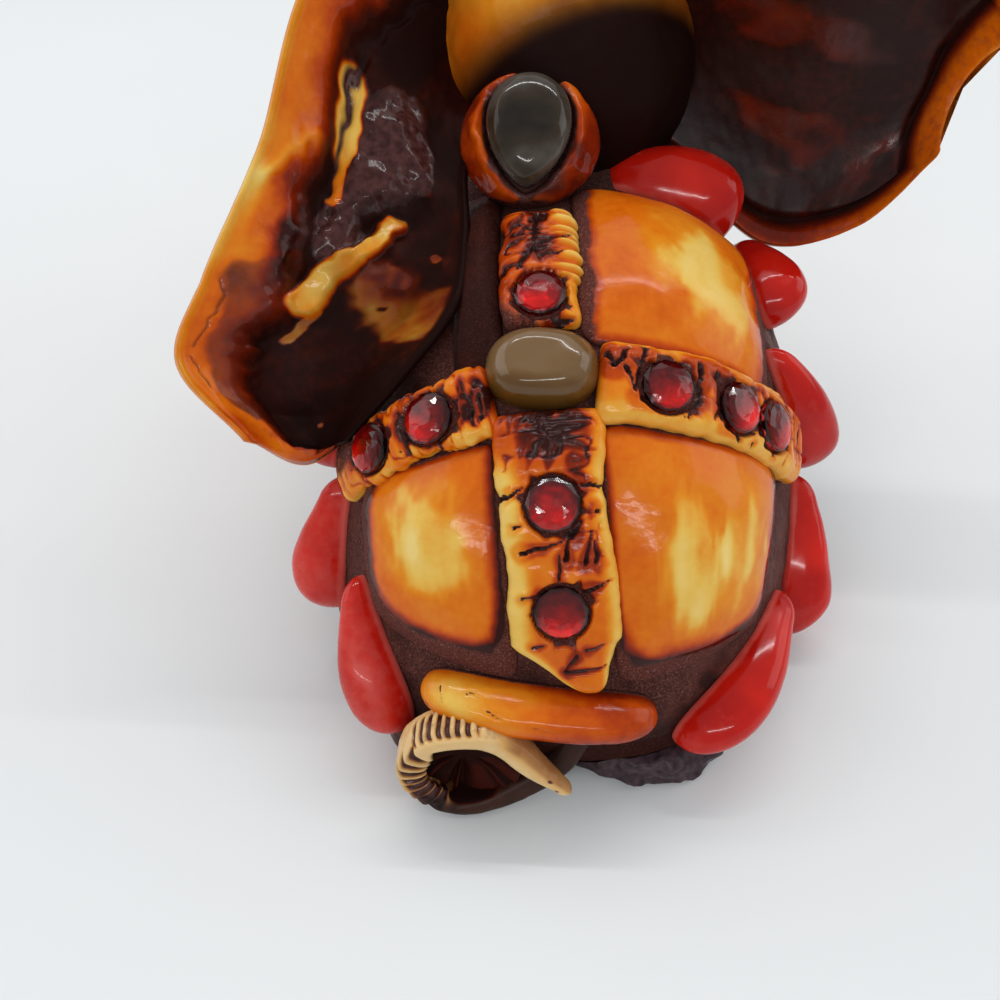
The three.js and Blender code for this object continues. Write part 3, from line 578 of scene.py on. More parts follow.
# Knife cuts: each runs from its wide end to its point, then come its width and depth
def strokeDepth(t, c, strokes, spreading=1.0):
    depth = np.zeros(np.broadcast(t, c).shape)
    for (t0, c0), (t1, c1), width, deep in strokes:
        run = np.array([t1 - t0, c1 - c0])
        share = np.clip(((t - t0) * run[0] + (c - c0) * run[1]) / (run @ run), 0, 1)
        away = np.hypot(t - t0 - share * run[0], c - c0 - share * run[1])
        wedge = spreading * width * (1.25 - 1.0 * share) + 0.05
        depth = np.maximum(depth, deep * (1 - 0.3 * share) * (1 - ease(away, 0.2 * wedge, 1.35 * wedge)))
    return depth


# What the straps share; each strap's own dictionary adds to it or changes it
strapLook = {
    "way": 1,  # the strap runs to higher or lower blanket distances from its start
    "startOver": 0.0,  # mm that it runs on past its start
    "tipOver": 0.0,  # mm that it runs on past its length
    "thickness": 3.0,
    "spacing": 0.24,  # mm between grid lines
    "squareness": 3.4,
    "endRound": 1.7,
    "edgeWobble": 0.5,
    "nicks": 0.22,
    "waver": 0.32,  # how much the cuts stray from straight
    "cutSpread": 0.58,
    "nearSpread": 3.0,  # how far round the cuts the clay is creased and stained
    "topFade": 0.0,  # how much shallower the cuts near its start are
    "gemRadius": 3.5,
    "pocketDepth": 1.3,
    "pocketRim": 3.4,  # how far the spikes of the ragged recess reach past the gem
}
gemSpots = {}


def gemRecess(strap, strip, gems, t, c):
    recess = np.zeros(c.shape)
    radius = strap["gemRadius"]
    for point in gems:
        gemT, gemC = strip.find(point)
        away = np.hypot(t - gemT, c - gemC)
        bearing = np.arctan2(c - gemC, t - gemT)
        around = triples(3 * np.cos(bearing), 3 * np.sin(bearing), gemT)
        spikes = strap["pocketRim"] * np.clip(softNoise(around, 0.8, strap["seed"] + 2), 0, 1) ** 1.5
        groove = 0.85 * (1 - ease(away, radius + 0.1, radius + 0.45 + spikes))
        recess = np.maximum(recess, np.where(away < radius + 0.2, strap["pocketDepth"], groove))
    return recess


# paintAt gives stain, dirt, crumpling and ribs for t along the strap and x from -1 to 1 across it
def buildStrap(name, strap, pointAt, paintAt, halfAt=None, shiftAt=None):
    start, way, seed = strap["start"], strap["way"], strap["seed"]
    for gem, share in strap["gems"].items():
        gemSpots[gem] = pointAt(start + share * way * strap["length"])
    gems = [gemSpots[gem] for gem in strap["gems"]]
    strip = Strip(pointAt(start), pointAt(start + way * (strap["length"] + strap["tipOver"])))
    thickness, over = strap["thickness"], strap["startOver"]
    t = np.linspace(-over, strip.length, int(strip.length / strap["spacing"]))[:, None]
    half = halfAt(t) if halfAt else np.interp(t, [0, strap["length"]], strap["half"])
    widest = float(half.max())
    columns = int(2 * (widest + thickness) / strap["spacing"])
    x, y, slope = bandSection(columns, widest, thickness, strap["squareness"])
    closing = quarterRound(np.minimum(t + over, strip.length - t) / strap["endRound"])

    def edgeNoise(size, firstSeed):
        plus, minus = triples(t, 0, 1), triples(t, 0, 7)
        return np.where(x > 0, softNoise(plus, size, firstSeed), softNoise(minus, size, firstSeed + 1))

    edge = strap["edgeWobble"] * edgeNoise(5.0, seed) + strap["nicks"] * edgeNoise(1.5, seed + 9)
    c = (shiftAt(t) if shiftAt else 0) + x * (half + edge - (1 - closing) * 0.8)
    height = thickness * y * (0.35 + 0.65 * closing)
    flat = triples(t, c, height)
    stain, dirt, crumple, ribs = paintAt(t, x, flat)

    cutT = t + strap["waver"] * softNoise(flat, 1.3, seed + 7)
    cutC = c + strap["waver"] * softNoise(flat, 1.3, seed + 8)
    deep = strokeDepth(cutT, cutC, strap["cuts"], strap["cutSpread"])
    deep = deep * (1 - strap["topFade"] * (1 - ease(t, 7.0, 10.0)))
    near = strokeDepth(cutT, cutC, strap["cuts"], strap["nearSpread"])
    recess = gemRecess(strap, strip, gems, t, c)
    along = flat * np.array(strap["grain"])
    folds = np.abs(softNoise(along, 2.6, seed + 5))
    crumple = crumple * (1 - np.abs(softNoise(along, 1.7, seed + 6))) ** 5
    creases = 0.1 * clayNoise(along, 1.4, seed + 3) + 0.3 * near * (0.5 - folds) + 0.42 * crumple
    creases = creases + 0.26 * softNoise(flat, 4.0, seed + 4) - ribs
    carved = np.maximum(deep, recess) * ease(y, 0.3, 0.8) + creases
    c = c - slope[:, 0] * carved
    height = np.maximum(height - slope[:, 1] * carved, 0.1 * y)
    top = strip.place(np.broadcast_to(t, c.shape), c, glueGap + height)
    baseC = underside(c)
    base = strip.place(np.broadcast_to(t, baseC.shape), baseC, np.full(baseC.shape, -glueGap))

    stain = stain + 0.16 * ease(recess, 0.02, 0.3) + 0.3 * ease(crumple, 0.25, 0.8)
    stain = stain + 0.24 * ease(near, 0.08, 0.6) * (1 - ease(np.abs(x), 0.8, 0.98))
    dirt = dirt + 0.75 * ease(recess, 0.25, 0.7) + 0.8 * (1 - ease(y, 0.05, 0.4))
    plum = ease(deep, 0.12, 0.35) + 0.8 * ease(recess, 0.2, 0.6) + 0.5 * ease(crumple, 0.5, 0.9)
    # the deepest cuts are darkened with painted shade, on top of their plum wash
    onTop = {
        "stain": stain,
        "plum": np.clip(plum, 0, 1),
        "grime": np.clip(dirt, 0, 1),
        "shade": 0.78 * ease(deep, 0.26, 0.6),
    }
    # the underside, where the strap sits on the body, is marked fully stained, washed, dusty and in painted
    # shade
    marks = {key: np.concatenate([values, np.ones(baseC.shape)], 1) for key, values in onTop.items()}
    addPiece(name, stainedClay, skin(np.concatenate([top, base], 1), marks))


# The straps' middle lines: the spine runs along the back, the side straps across it
spine = {"along": 1.3, "across": 3.2, "rearLean": -0.13, "frontLean": -0.07}
sideStraps = {"rightSet": 0.8, "rightLean": -0.06, "leftSet": 2.2, "leftLean": 0.35}


def spineAcross(along):
    past = along - spine["along"]
    return spine["across"] + past * spine["rearLean" if past > 0 else "frontLean"]


def rightAlong(across):
    return spine["along"] + sideStraps["rightSet"] + sideStraps["rightLean"] * (across - spine["across"])


def leftAlong(across):
    return spine["along"] + sideStraps["leftSet"] + sideStraps["leftLean"] * (across - spine["across"])


def spinePoint(along):
    return blanketPoint(along, spineAcross(along))


def rightPoint(across):
    return blanketPoint(rightAlong(across), across)


def leftPoint(across):
    return blanketPoint(leftAlong(across), across)


# Rear strap, narrowing to a point
rearStrap = {
    **strapLook,
    "seed": 11,
    "grain": (1.5, 0.5, 1.0),
    "topFade": 0.6,
    "start": 7.0,
    "length": 35.4,
    "half": 6.6,
    "point": 7.0,
    "pointShift": 0.46,
    "flare": 1.0,  # how much wider its right side gets towards the point
    "tipOver": 0.9,  # how far the point laps onto the hem
    "gems": {"rear_gem_upper": 0.33, "rear_gem_lower": 0.7},
    "cuts": [
        ((0.2, 0.5), (3.0, 0.5), 0.5, 0.9), ((3.0, 0.5), (4.5, -0.4), 0.5, 0.9),
        ((4.5, -0.4), (7.3, 0.3), 0.5, 0.8), ((0.7, -2.4), (1.7, -5.6), 0.4, 0.8),
        ((2.7, -1.5), (2.4, -5.4), 0.4, 0.8), ((4.0, -0.7), (5.6, -5.9), 0.4, 0.8),
        ((6.8, -3.2), (6.4, -5.1), 0.4, 0.7), ((9.6, -3.7), (10.3, -6.9), 0.45, 0.9),
        ((0.3, 4.0), (2.3, 4.5), 0.35, 0.6), ((0.7, 2.6), (2.4, 3.7), 0.35, 0.6),
        ((1.1, 1.3), (2.4, 2.7), 0.35, 0.6), ((3.5, 2.7), (5.8, 3.3), 0.4, 0.6),
        ((4.2, 0.8), (6.4, 2.2), 0.35, 0.6), ((4.6, 2.0), (7.4, 2.6), 0.35, 0.5),
        ((10.7, 6.4), (9.5, 3.4), 0.45, 0.9), ((14.4, 5.2), (14.1, 4.0), 0.35, 0.6),
        ((17.3, 4.4), (16.3, -0.9), 0.42, 0.9), ((18.3, -0.9), (15.7, -1.8), 0.45, 0.8),
        ((15.7, -1.8), (13.9, -3.4), 0.55, 0.9), ((19.2, -3.4), (15.2, -4.4), 0.4, 0.8),
        ((19.1, -4.8), (16.5, -4.8), 0.4, 0.8), ((20.7, -0.1), (17.6, -0.2), 0.35, 0.6),
        ((22.7, -2.9), (21.4, -6.7), 0.4, 1.0), ((22.9, 4.8), (22.7, 2.6), 0.35, 0.5),
        ((22.7, 2.6), (21.7, 0.0), 0.4, 0.6), ((29.3, 4.1), (29.1, 2.1), 0.3, 0.5),
        ((30.0, -2.8), (29.4, -5.0), 0.3, 0.5), ((30.7, -1.3), (32.8, 0.1), 0.32, 0.6),
        ((32.8, 0.1), (32.5, -4.7), 0.32, 0.7), ((13.0, -5.5), (13.2, -5.7), 0.45, 0.8),
    ],
}


def rearHalf(t):
    toTip = rearStrap["length"] + rearStrap["tipOver"] - t
    root = 0.5 * (1 - ease(t, 0, 14)) + rearStrap["flare"] / 2 * ease(t, 12, 20)
    return root + rearStrap["half"] * np.clip(0.12 + 0.88 * toTip / rearStrap["point"], 0.12, 1)


def rearShift(t):
    narrowed = rearHalf(t) - rearStrap["half"]
    return rearStrap["pointShift"] * np.minimum(narrowed, 0) - rearStrap["flare"] / 2 * ease(t, 12, 20)


def rearPaint(t, x, flat):
    creamy = ease(x, 0.45, 0.8) * ease(t, 4, 9) + 0.8 * ease(-x, 0.62, 0.9)
    stain = 0.57 - 0.42 * creamy + 0.16 * bump(t, 2.0, 4.0) + 0.12 * clayNoise(flat, 4.0, 12)
    crumple = 1 - ease(t, 7, 11) + 0.8 * bump(t, 16, 4) * ease(-x, -0.1, 0.3)
    return stain, 0.35 * bump(t, 0.5, 2.0), crumple * (1 - ease(np.abs(x), 0.75, 0.95)), 0.0


buildStrap("rear_strap", rearStrap, spinePoint, rearPaint, rearHalf, rearShift)

# Front strap: a ladder of ribs on its right, a crack down its middle
frontStrap = {
    **strapLook,
    "seed": 21,
    "grain": (1.5, 0.5, 1.0),
    "way": -1,
    "start": -4.4,
    "length": 20.0,
    "half": (5.2, 4.8),
    "ribPitch": 1.75,  # mm between the ribs on its right
    "ribDepth": 0.4,
    "gems": {"front_gem": 0.21},
    "cuts": [
        ((18.9, -0.2), (11.9, -0.5), 0.45, 0.9), ((11.9, -0.5), (8.0, -2.7), 0.4, 0.8),
        ((11.9, -0.5), (8.8, 0.3), 0.35, 0.6), ((12.3, 0.4), (14.0, 4.0), 0.4, 0.9),
        ((10.1, 0.4), (11.0, 3.7), 0.4, 0.8), ((16.8, -2.9), (19.1, -1.6), 0.35, 0.6),
        ((14.3, -2.7), (16.1, -1.0), 0.35, 0.6), ((12.6, -3.0), (14.0, -1.2), 0.35, 0.5),
        ((0.3, 1.5), (0.6, 4.4), 0.4, 0.8), ((1.6, 2.4), (2.2, 4.2), 0.3, 0.5),
    ],
}


def frontPaint(t, x, flat):
    wave = np.cos(2 * np.pi * t / frontStrap["ribPitch"] + 1.5 * np.sin(0.9 * t))
    ridge = ease(x, 0.2, 0.6) * ease(t, 5, 8) * wave
    stain = 0.68 - 0.3 * ease(x, 0.2, 0.7) - 0.22 * ridge + 0.1 * ease(-x, 0.5, 0.9)
    dirt = 0.75 * bump(t, 0.0, 3.5) * ease(-x, -0.5, 0.4) + 0.35 * ease(-x, 0.7, 1.0)
    crumple = 0.9 * ease(t, 5, 9) * (1 - ease(x, 0.2, 0.5))
    return stain + 0.1 * clayNoise(flat, 3.0, 22), dirt, crumple, frontStrap["ribDepth"] * ridge


buildStrap("front_strap", frontStrap, spinePoint, frontPaint)

# Right strap: plain yellow lower edge, zigzag wedges between its three gems
rightStrap = {
    **strapLook,
    "seed": 31,
    "grain": (0.6, 1.2, 1.0),
    "way": -1,
    "start": -4.9,
    "startOver": 1.0,
    "length": 35.0,
    "half": (5.5, 5.5),
    "gems": {"right_gem_inner": 0.21, "right_gem_middle": 0.5, "right_gem_outer": 0.71},
    "cuts": [
        ((-0.4, -3.2), (0.8, -1.4), 0.5, 1.0), ((0.8, -1.4), (2.6, -4.6), 0.55, 1.1),
        ((2.1, -1.4), (3.4, 1.6), 0.4, 0.8), ((4.2, -4.6), (4.0, -1.8), 0.6, 1.1),
        ((4.0, -1.8), (3.4, 1.6), 0.5, 1.0), ((4.6, 2), (6.6, 3.8), 0.7, 0.9),
        ((11.5, -3.6), (11.5, 1.2), 0.75, 1.1), ((11.5, 1.2), (10.2, 3.8), 0.45, 0.9),
        ((9.1, 2.6), (9.6, 3.9), 0.25, 0.4), ((14.0, -3.4), (14.2, 1.1), 0.6, 1.1),
        ((14.2, 1.1), (13.4, 2.9), 0.4, 0.8), ((15.6, 3), (18.0, 4.3), 0.55, 0.9),
        ((21.8, -3.6), (22.0, -0.4), 0.3, 0.6), ((22.0, -0.4), (22.6, 2.9), 0.3, 0.6),
        ((22.8, -2.8), (23.1, 1.8), 0.25, 0.5), ((25.2, 4.3), (25.6, 2.8), 0.25, 0.5),
        ((20.2, 4), (20.4, 4.8), 0.25, 0.5), ((27.8, 4.4), (28.1, 3), 0.22, 0.4),
        ((30.2, -3.8), (30.8, 2.6), 0.22, 0.35), ((31.2, -3.4), (31.8, 3.2), 0.22, 0.35),
        ((32.4, -3.2), (32.8, 3.4), 0.22, 0.35),
    ],
}


def rightPaint(t, x, flat):
    stain = 0.5 - 0.2 * ease(x, 0.3, 0.75) - 0.14 * ease(-x, 0.7, 0.95) + 0.12 * ease(t, 28, 35)
    crumple = (0.35 + 0.5 * ease(t, 20, 26)) * (1 - ease(x, 0.1, 0.5))
    return stain + 0.09 * clayNoise(flat, 4.0, 32), 0.3 * bump(t, 0.0, 1.5), crumple, 0.0


buildStrap("right_strap", rightStrap, rightPoint, rightPaint)

# Left strap: streaky, dusty towards its outer end
leftStrap = {
    **strapLook,
    "seed": 41,
    "grain": (1.8, 0.4, 1.0),
    "nicks": 0.55,
    "start": 11.3,
    "startOver": 2.4,
    "length": 24.0,
    "half": (4.6, 4.6),
    "gems": {"left_gem_inner": 0.23, "left_gem_outer": 0.62},
    "cuts": [
        ((11.4, 0.4), (11.7, -1.6), 0.3, 0.6), ((10.0, 1.8), (10.4, -3), 0.3, 0.5),
        ((9.4, -0.8), (9.7, -3.9), 0.45, 0.8), ((5.4, -4.4), (4.8, -3.5), 0.35, 0.7),
        ((-0.9, 0.4), (-0.6, -2.6), 0.5, 0.9), ((0.5, -1.4), (0.3, -3), 0.4, 0.8),
        ((-0.7, 1.9), (-0.5, 1.6), 0.4, 0.7), ((1.8, 0.6), (1.6, -3), 0.3, 0.5),
        ((1.0, 2.8), (0.8, 0.8), 0.3, 0.5), ((19.4, 2), (19.8, -2.4), 0.25, 0.4),
        ((12.7, 2.4), (12.3, 0.6), 0.25, 0.4),
    ],
}


def leftPaint(t, x, flat):
    streak = clayNoise(flat * np.array([1.0, 0.3, 1.0]), 2.2, 42)
    stain = 0.62 - 0.2 * ease(-x, 0.2, 0.8) + 0.34 * streak
    return stain, 0.75 * ease(t, 15, 20) * ease(x, -0.9, 0.1), 0.8, 0.0


buildStrap("left_strap", leftStrap, leftPoint, leftPaint)
print("straps carved")

# Rhinestones: rows of facets over a foil back, which is painted brighter on its downhill side as a glow of
# light through the stone
gemLook = {
    "sides": 11,
    "strapTop": 3.0,
    # radius and height of each row of corners, in mm
    "shell": [(3.3, -0.9), (3.5, -0.6), (3.5, 0.05), (3.05, 0.62), (2.25, 1.0), (1.2, 1.15)],
    "foil": [(3.2, 0.1), (2.2, -0.3), (1.0, -0.62), (0.2, -0.7)],
}


def triangles(faces):
    split = []
    for face in faces:
        split += [face] if len(face) == 3 else [face[:3], [face[0], *face[2:]]]
    return split


def buildGem(name, point, look=gemLook):
    place, normal = onBody(point, look["strapTop"])
    side = unit(np.cross(np.array([0.0, 1.0, 0.2]), normal))
    turn = np.stack([side, np.cross(normal, side), normal], -1)
    downhill = unit(np.array([0.0, 0.0, -1.0]) + normal * normal[2]) @ turn
    angles = ringAngles(look["sides"])

    def facets(profile):
        rings = []
        for row, (radius, height) in enumerate(profile):
            turned = angles + (row % 2) * np.pi / look["sides"]
            rings.append(triples(radius * np.cos(turned), radius * np.sin(turned), height))
        rings = np.array(rings)
        # the foil's stain runs from dark uphill to bright downhill: a painted glow of the light through the
        # stone
        low = rings @ downhill / look["foil"][0][0]
        marks = {"stain": ease(low, -0.2, 0.9), "grime": 1 - ease(rings[..., 2], 0.1, 0.6)}
        points, faces, marks = skin(rings, marks)
        return points, triangles(faces), marks

    shell = facets(look["shell"])
    points, faces, marks = joinSkins(shell, facets(look["foil"]))
    piece = addPiece(name, redGlass, (points @ turn.T + place, faces, marks), smooth=False)
    for face in piece.data.polygons[len(shell[1]):]:
        face.material_index = 1


for name, point in gemSpots.items():
    buildGem(name, point)
print("gems set")


# Pads: cushions on the body with a rounded four-cornered outline, outer and rear run from 0 to 1
def padRings(corners, heightAt, roundness, levels=46, spokes=200):
    innerFront, outerFront, outerRear, innerRear = corners
    angle = ringAngles(spokes)
    x, y = np.cos(angle), np.sin(angle)
    reach = 1 / (np.abs(x) ** roundness + np.abs(y) ** roundness) ** (1 / roundness)
    upper = np.append(np.cos(np.linspace(0, np.pi / 2, levels))[:-1], 0.012)
    share = np.concatenate([[0.3, 0.7, 0.97], upper])[:, None]
    height = np.concatenate([[-0.5, -0.5, -0.5], heightAt(upper)])[:, None]
    outer = ((1 + x * reach * share) / 2)[..., None]
    rear = ((1 + y * reach * share) / 2)[..., None]
    front = innerFront + (outerFront - innerFront) * outer
    back = innerRear + (outerRear - innerRear) * outer
    through = front + (back - front) * rear
    return through, share, height, outer[..., 0], rear[..., 0]


# Panels: the margins give how far in mm the dust and the burnt tint reach in from each side, which also
# paints shade where a panel meets the straps, drops and hem;
# the patches give the place, the reach and the strength of each pale patch, or of a dark one below 0, which
# paints shade
panelLook = {"crown": 2.9, "rim": 0.6, "roundness": 9.0, "lumps": 0.3, "ripples": 0.1, "dustShare": 1.0}
panels = {
    "rear_left_panel": {
        "onLeft": True,
        "inFront": False,
        "seed": 61,
        "brush": (1.6, 0.7, 1.0),
        "corner": 0.66,
        "innerCorner": 0.96,
        "paleAndShadedPatches": [((0.43, 0.42), (0.24, 0.28), 0.36), ((0.56, 0.30), (0.12, 0.2), 0.12)],
        "dustAndShadeMargins": {"inner": (0.5, 4.0), "outer": (4.0, 4.5), "front": (0.5, 2.5), "rear": (4.2, 6.0)},
    },
    "rear_right_panel": {
        "onLeft": False,
        "inFront": False,
        "seed": 71,
        "brush": (2.2, 0.35, 1.0),
        "corner": 0.82,
        "innerCorner": 1.06,
        "paleAndShadedPatches": [
            ((0.40, 0.52), (0.13, 0.30), 0.30),
            ((0.66, 0.44), (0.16, 0.2), 0.3),
            ((0.50, 0.56), (0.32, 0.2), 0.14),
        ],
        "dustAndShadeMargins": {"inner": (0.3, 2.5), "outer": (2.0, 4.0), "front": (0.4, 3.0), "rear": (3.6, 6.5)},
    },
    "front_right_panel": {
        "onLeft": False,
        "inFront": True,
        "seed": 81,
        "brush": (1.4, 0.8, 1.0),
        "corner": 0.92,
        "innerCorner": 2.0,
        "paleAndShadedPatches": [((0.62, 0.45), (0.22, 0.28), 0.37), ((0.35, 0.45), (0.16, 0.18), 0.18)],
        "dustAndShadeMargins": {"inner": (2.6, 3.0), "outer": (3.8, 4.2), "front": (0.4, 3.0), "rear": (1.6, 5.0)},
    },
    "front_left_panel": {
        "onLeft": True,
        "inFront": True,
        "seed": 91,
        "brush": (1.4, 0.8, 1.0),
        "corner": 0.92,
        "innerCorner": 2.0,
        # this panel lies under the left ear: its dark patch and its shade paint the ear's shadow over it
        "paleAndShadedPatches": [((0.5, 0.5), (3.0, 3.0), -0.5)],
        "dustAndShadeMargins": {"inner": (8.0, 9.0)},
        "dustShare": 0.6,
        "shade": 0.76,
    },
}
panelReach = {
    "rear": 30.0,
    "front": 27.0,
    "frontLeft": 14.0,
    "frontTop": -36.0,
    "cornerDrop": 4.0,
    "over": 0.8,  # mm added to the outer edges
    "margin": -0.4,  # mm between panels and straps, below 0 they lap
}
seam = 0.8  # mm in front of the hem
hemRoll = {
    "along": 46.1,
    "across": 1.6,
    "length": 31.0,
    "width": 6.8,
    "height": 5.8,
    "lean": 0.7,
    "rows": 150,
    "sides": 54,
    "cracks": [
        ((6.0, 1.2), (6.4, 1.5), 0.3, 0.5), ((9.5, -1.6), (11.2, -1.1), 0.12, 0.35),
        ((2.2, 0.2), (4.4, 1.9), 0.1, 0.35), ((13.5, 2.0), (14.8, 2.3), 0.16, 0.35),
        ((3.2, -1.9), (4.4, -0.6), 0.1, 0.3), ((8.0, 2.3), (8.5, 2.6), 0.2, 0.35),
        ((15.0, -0.6), (17.5, -0.2), 0.08, 0.25), ((6.6, -2.2), (8.6, -2.6), 0.1, 0.3),
    ],
}
hemFront = hemRoll["along"] - hemRoll["width"] / 2 - seam


def panelCorners(onLeft, inFront):
    sign = 1 if onLeft else -1
    way = -1 if inFront else 1
    margin, drop, over = panelReach["margin"], panelReach["cornerDrop"], panelReach["over"]
    sideStrap, rowAt = (leftStrap, leftAlong) if onLeft else (rightStrap, rightAlong)
    past = way * (sideStrap["half"][0] + margin)
    beside = sign * ((frontStrap["half"][0] if inFront else rearStrap["half"]) + margin)
    reach = panelReach["front"] if inFront else panelReach["rear"]
    nearReach, farReach = reach + drop, reach
    if onLeft and not inFront:
        nearReach, farReach = reach, reach - drop
    if onLeft and inFront:
        nearReach = farReach = panelReach["frontLeft"]
    inner = rowAt(sideStrap["start"]) + past
    outer = rowAt(sign * min(reach, nearReach)) + past
    far = panelReach["frontTop"] if inFront else hemFront + seam - margin
    return [
        (inner, spineAcross(inner) + beside),
        (outer, sign * (nearReach + over)),
        (far - way * drop, sign * (farReach + over)),
        (far, spineAcross(far) + beside),
    ]


def cornerness(first, second, power):
    return (np.clip(first, 0, 1) ** power + np.clip(second, 0, 1) ** power) ** (1 / power)


def buildPanel(name, panel):
    points = [blanketPoint(*corner) for corner in panelCorners(panel["onLeft"], panel["inFront"])]
    wide = np.linalg.norm(points[1] - points[0])
    deep = np.linalg.norm(points[3] - points[0])
    seed = panel["seed"]

    def cushion(share):
        swell = (panel["crown"] - panel["rim"]) * (1 - share ** 2.6)
        return panel["rim"] * np.sqrt(1 - share ** 24) + swell

    through, share, height, outer, rear = padRings(points, cushion, panel["roundness"])
    flat = triples(outer * wide, rear * deep, 0)
    lumps = panel["lumps"] * clayNoise(flat, 9.0, seed) + panel["ripples"] * softNoise(flat, 3.5, seed + 4)
    height = height + lumps * ease(height, 0.2, 1.5)
    height = height * np.where(height > 0, 1 - 0.55 * ease(rear, 0.87, 1.0), 1)
    rings = onBody(through, glueGap + height)[0]

    stain = 0.56 + 0.09 * clayNoise(flat, 7.0, seed + 1)
    strokes = flat * np.array(panel["brush"])
    brushed, streaky = softNoise(strokes, 3.0, seed + 2), softNoise(strokes, 1.1, seed + 5)
    for (u, v), (reach, length), strength in panel["paleAndShadedPatches"]:
        patch = np.exp(-(((outer - u) / reach) ** 2) - ((rear - v) / length) ** 2)
        patch = 0.35 * patch + 0.65 * ease(patch + 0.22 * brushed + 0.1 * streaky, 0.3, 0.72)
        stain = stain - strength * patch * (0.92 + 0.4 * brushed)
    ragged = 0.7 * clayNoise(flat, 3.0, seed + 3)
    dirt = np.zeros_like(stain)
    u, v = flat[..., 0], flat[..., 1]
    fromSide = {"inner": u, "outer": wide - u, "front": v, "rear": deep - v}
    # the margins' dust and burnt tint also paint shade along the edges
    for side, (dusty, burnt) in panel["dustAndShadeMargins"].items():
        away = fromSide[side] + ragged * min(dusty, 1.0)
        dirt = np.maximum(dirt, 1 - ease(away, 0.5 * dusty, dusty + 0.8))
        stain = np.maximum(stain, 0.84 - 1.0 * ease(away, 0.5 * dusty, dusty + 1.7 * burnt))
    # the outer rear and inner rear corners get dust and burnt tint too, also as painted shade
    corner, at = cornerness(2 * outer - 1, 2 * rear - 1, 2.4), panel["corner"]
    dirt = np.maximum(dirt, ease(corner + 0.03 * ragged, at, at + 0.1)) * panel["dustShare"]
    stain = stain + 0.3 * ease(corner, at - 0.14, at + 0.04)
    corner, at = cornerness(1 - 2 * outer, 2 * rear - 1, 2.0), panel["innerCorner"]
    dirt = np.maximum(dirt, ease(corner + 0.03 * ragged, at, at + 0.12))
    stain = stain + 0.3 * ease(corner, at - 0.16, at + 0.04)
    marks = {"stain": stain, "plum": 0.0, "grime": dirt}
    if "shade" in panel:
        marks["shade"] = panel["shade"]
    addPiece(name, stainedClay, skin(rings, marks))


for name, panel in panels.items():
    buildPanel(name, {**panelLook, **panel})
print("panels brushed")

# Saddle stone: a tumbled pebble between the straps
saddleStone = {
    "width": 14.6,
    "length": 10.8,
    "height": 4.6,
    "roundness": 2.4,
    "table": 0.3,  # share of it that is nearly flat on top
    "bulge": 0.1,
    "levels": 60,
    "spokes": 120,
    "mottle": (14.0, 11.0),  # mm over which its tints are spread, across and along
}


def buildSaddleStone(look):
    points = []
    for rear, left in [(-1, -1), (-1, 1), (1, 1), (1, -1)]:
        along = spine["along"] + rear * look["length"] / 2
        points.append(blanketPoint(along, spine["across"] + left * look["width"] / 2))

    def pebble(share):
        past = np.clip((share - look["table"]) / (1 - look["table"]), 0, 1)
        return look["height"] * (1 - past ** 2.6) ** 0.6

    made = padRings(points, pebble, look["roundness"], look["levels"], look["spokes"])
    through, share, height, outer, rear = made
    flat = triples(outer * look["mottle"][0], rear * look["mottle"][1], 0)
    bulge = look["bulge"] * ease(rear - 0.6 * outer, 0.1, 0.5)
    height = height * (1 + 0.07 * softNoise(flat, 5.0, 101) + bulge)
    rings = onBody(through, glueGap + height)[0]
    # paler on top and darker down its rear side and round its edge: a painted reflection and painted shade
    # over the stone's olive tints
    flank = rear + 0.12 * (outer - 0.5) + 0.05 * softNoise(flat, 3.0, 103)
    stain = 0.12 + 0.6 * ease(flank, 0.66, 0.80) + 0.15 * ease(share, 0.75, 0.95)
    addPiece("saddle_stone", agate, skin(rings, {"stain": stain + 0.2 * softNoise(flat, 5.0, 102)}))


buildSaddleStone(saddleStone)

# Red drops round the blanket, each from its narrow end to its round one, as (along, across)
dropLook = {
    "width": 7.8,
    "height": 6.8,
    "collarWidth": 9.0,  # the first on each side is larger
    "collarHeight": 9.2,
    "narrow": 0.42,  # width of the thin end, as a share of the full width
    "reach": {"right_drop_1": (0.6, 0.9), "right_drop_2": (1.5, 0.6)},  # mm past each end of the route
    "usualReach": (0.3, 0.5),
    "bloom": {"left": 0.36, "right": 0.22},
    "seeds": {"left": 120, "right": 110},
    "pitch": 20.0,
    "rows": 80,
    "sides": 34,
}


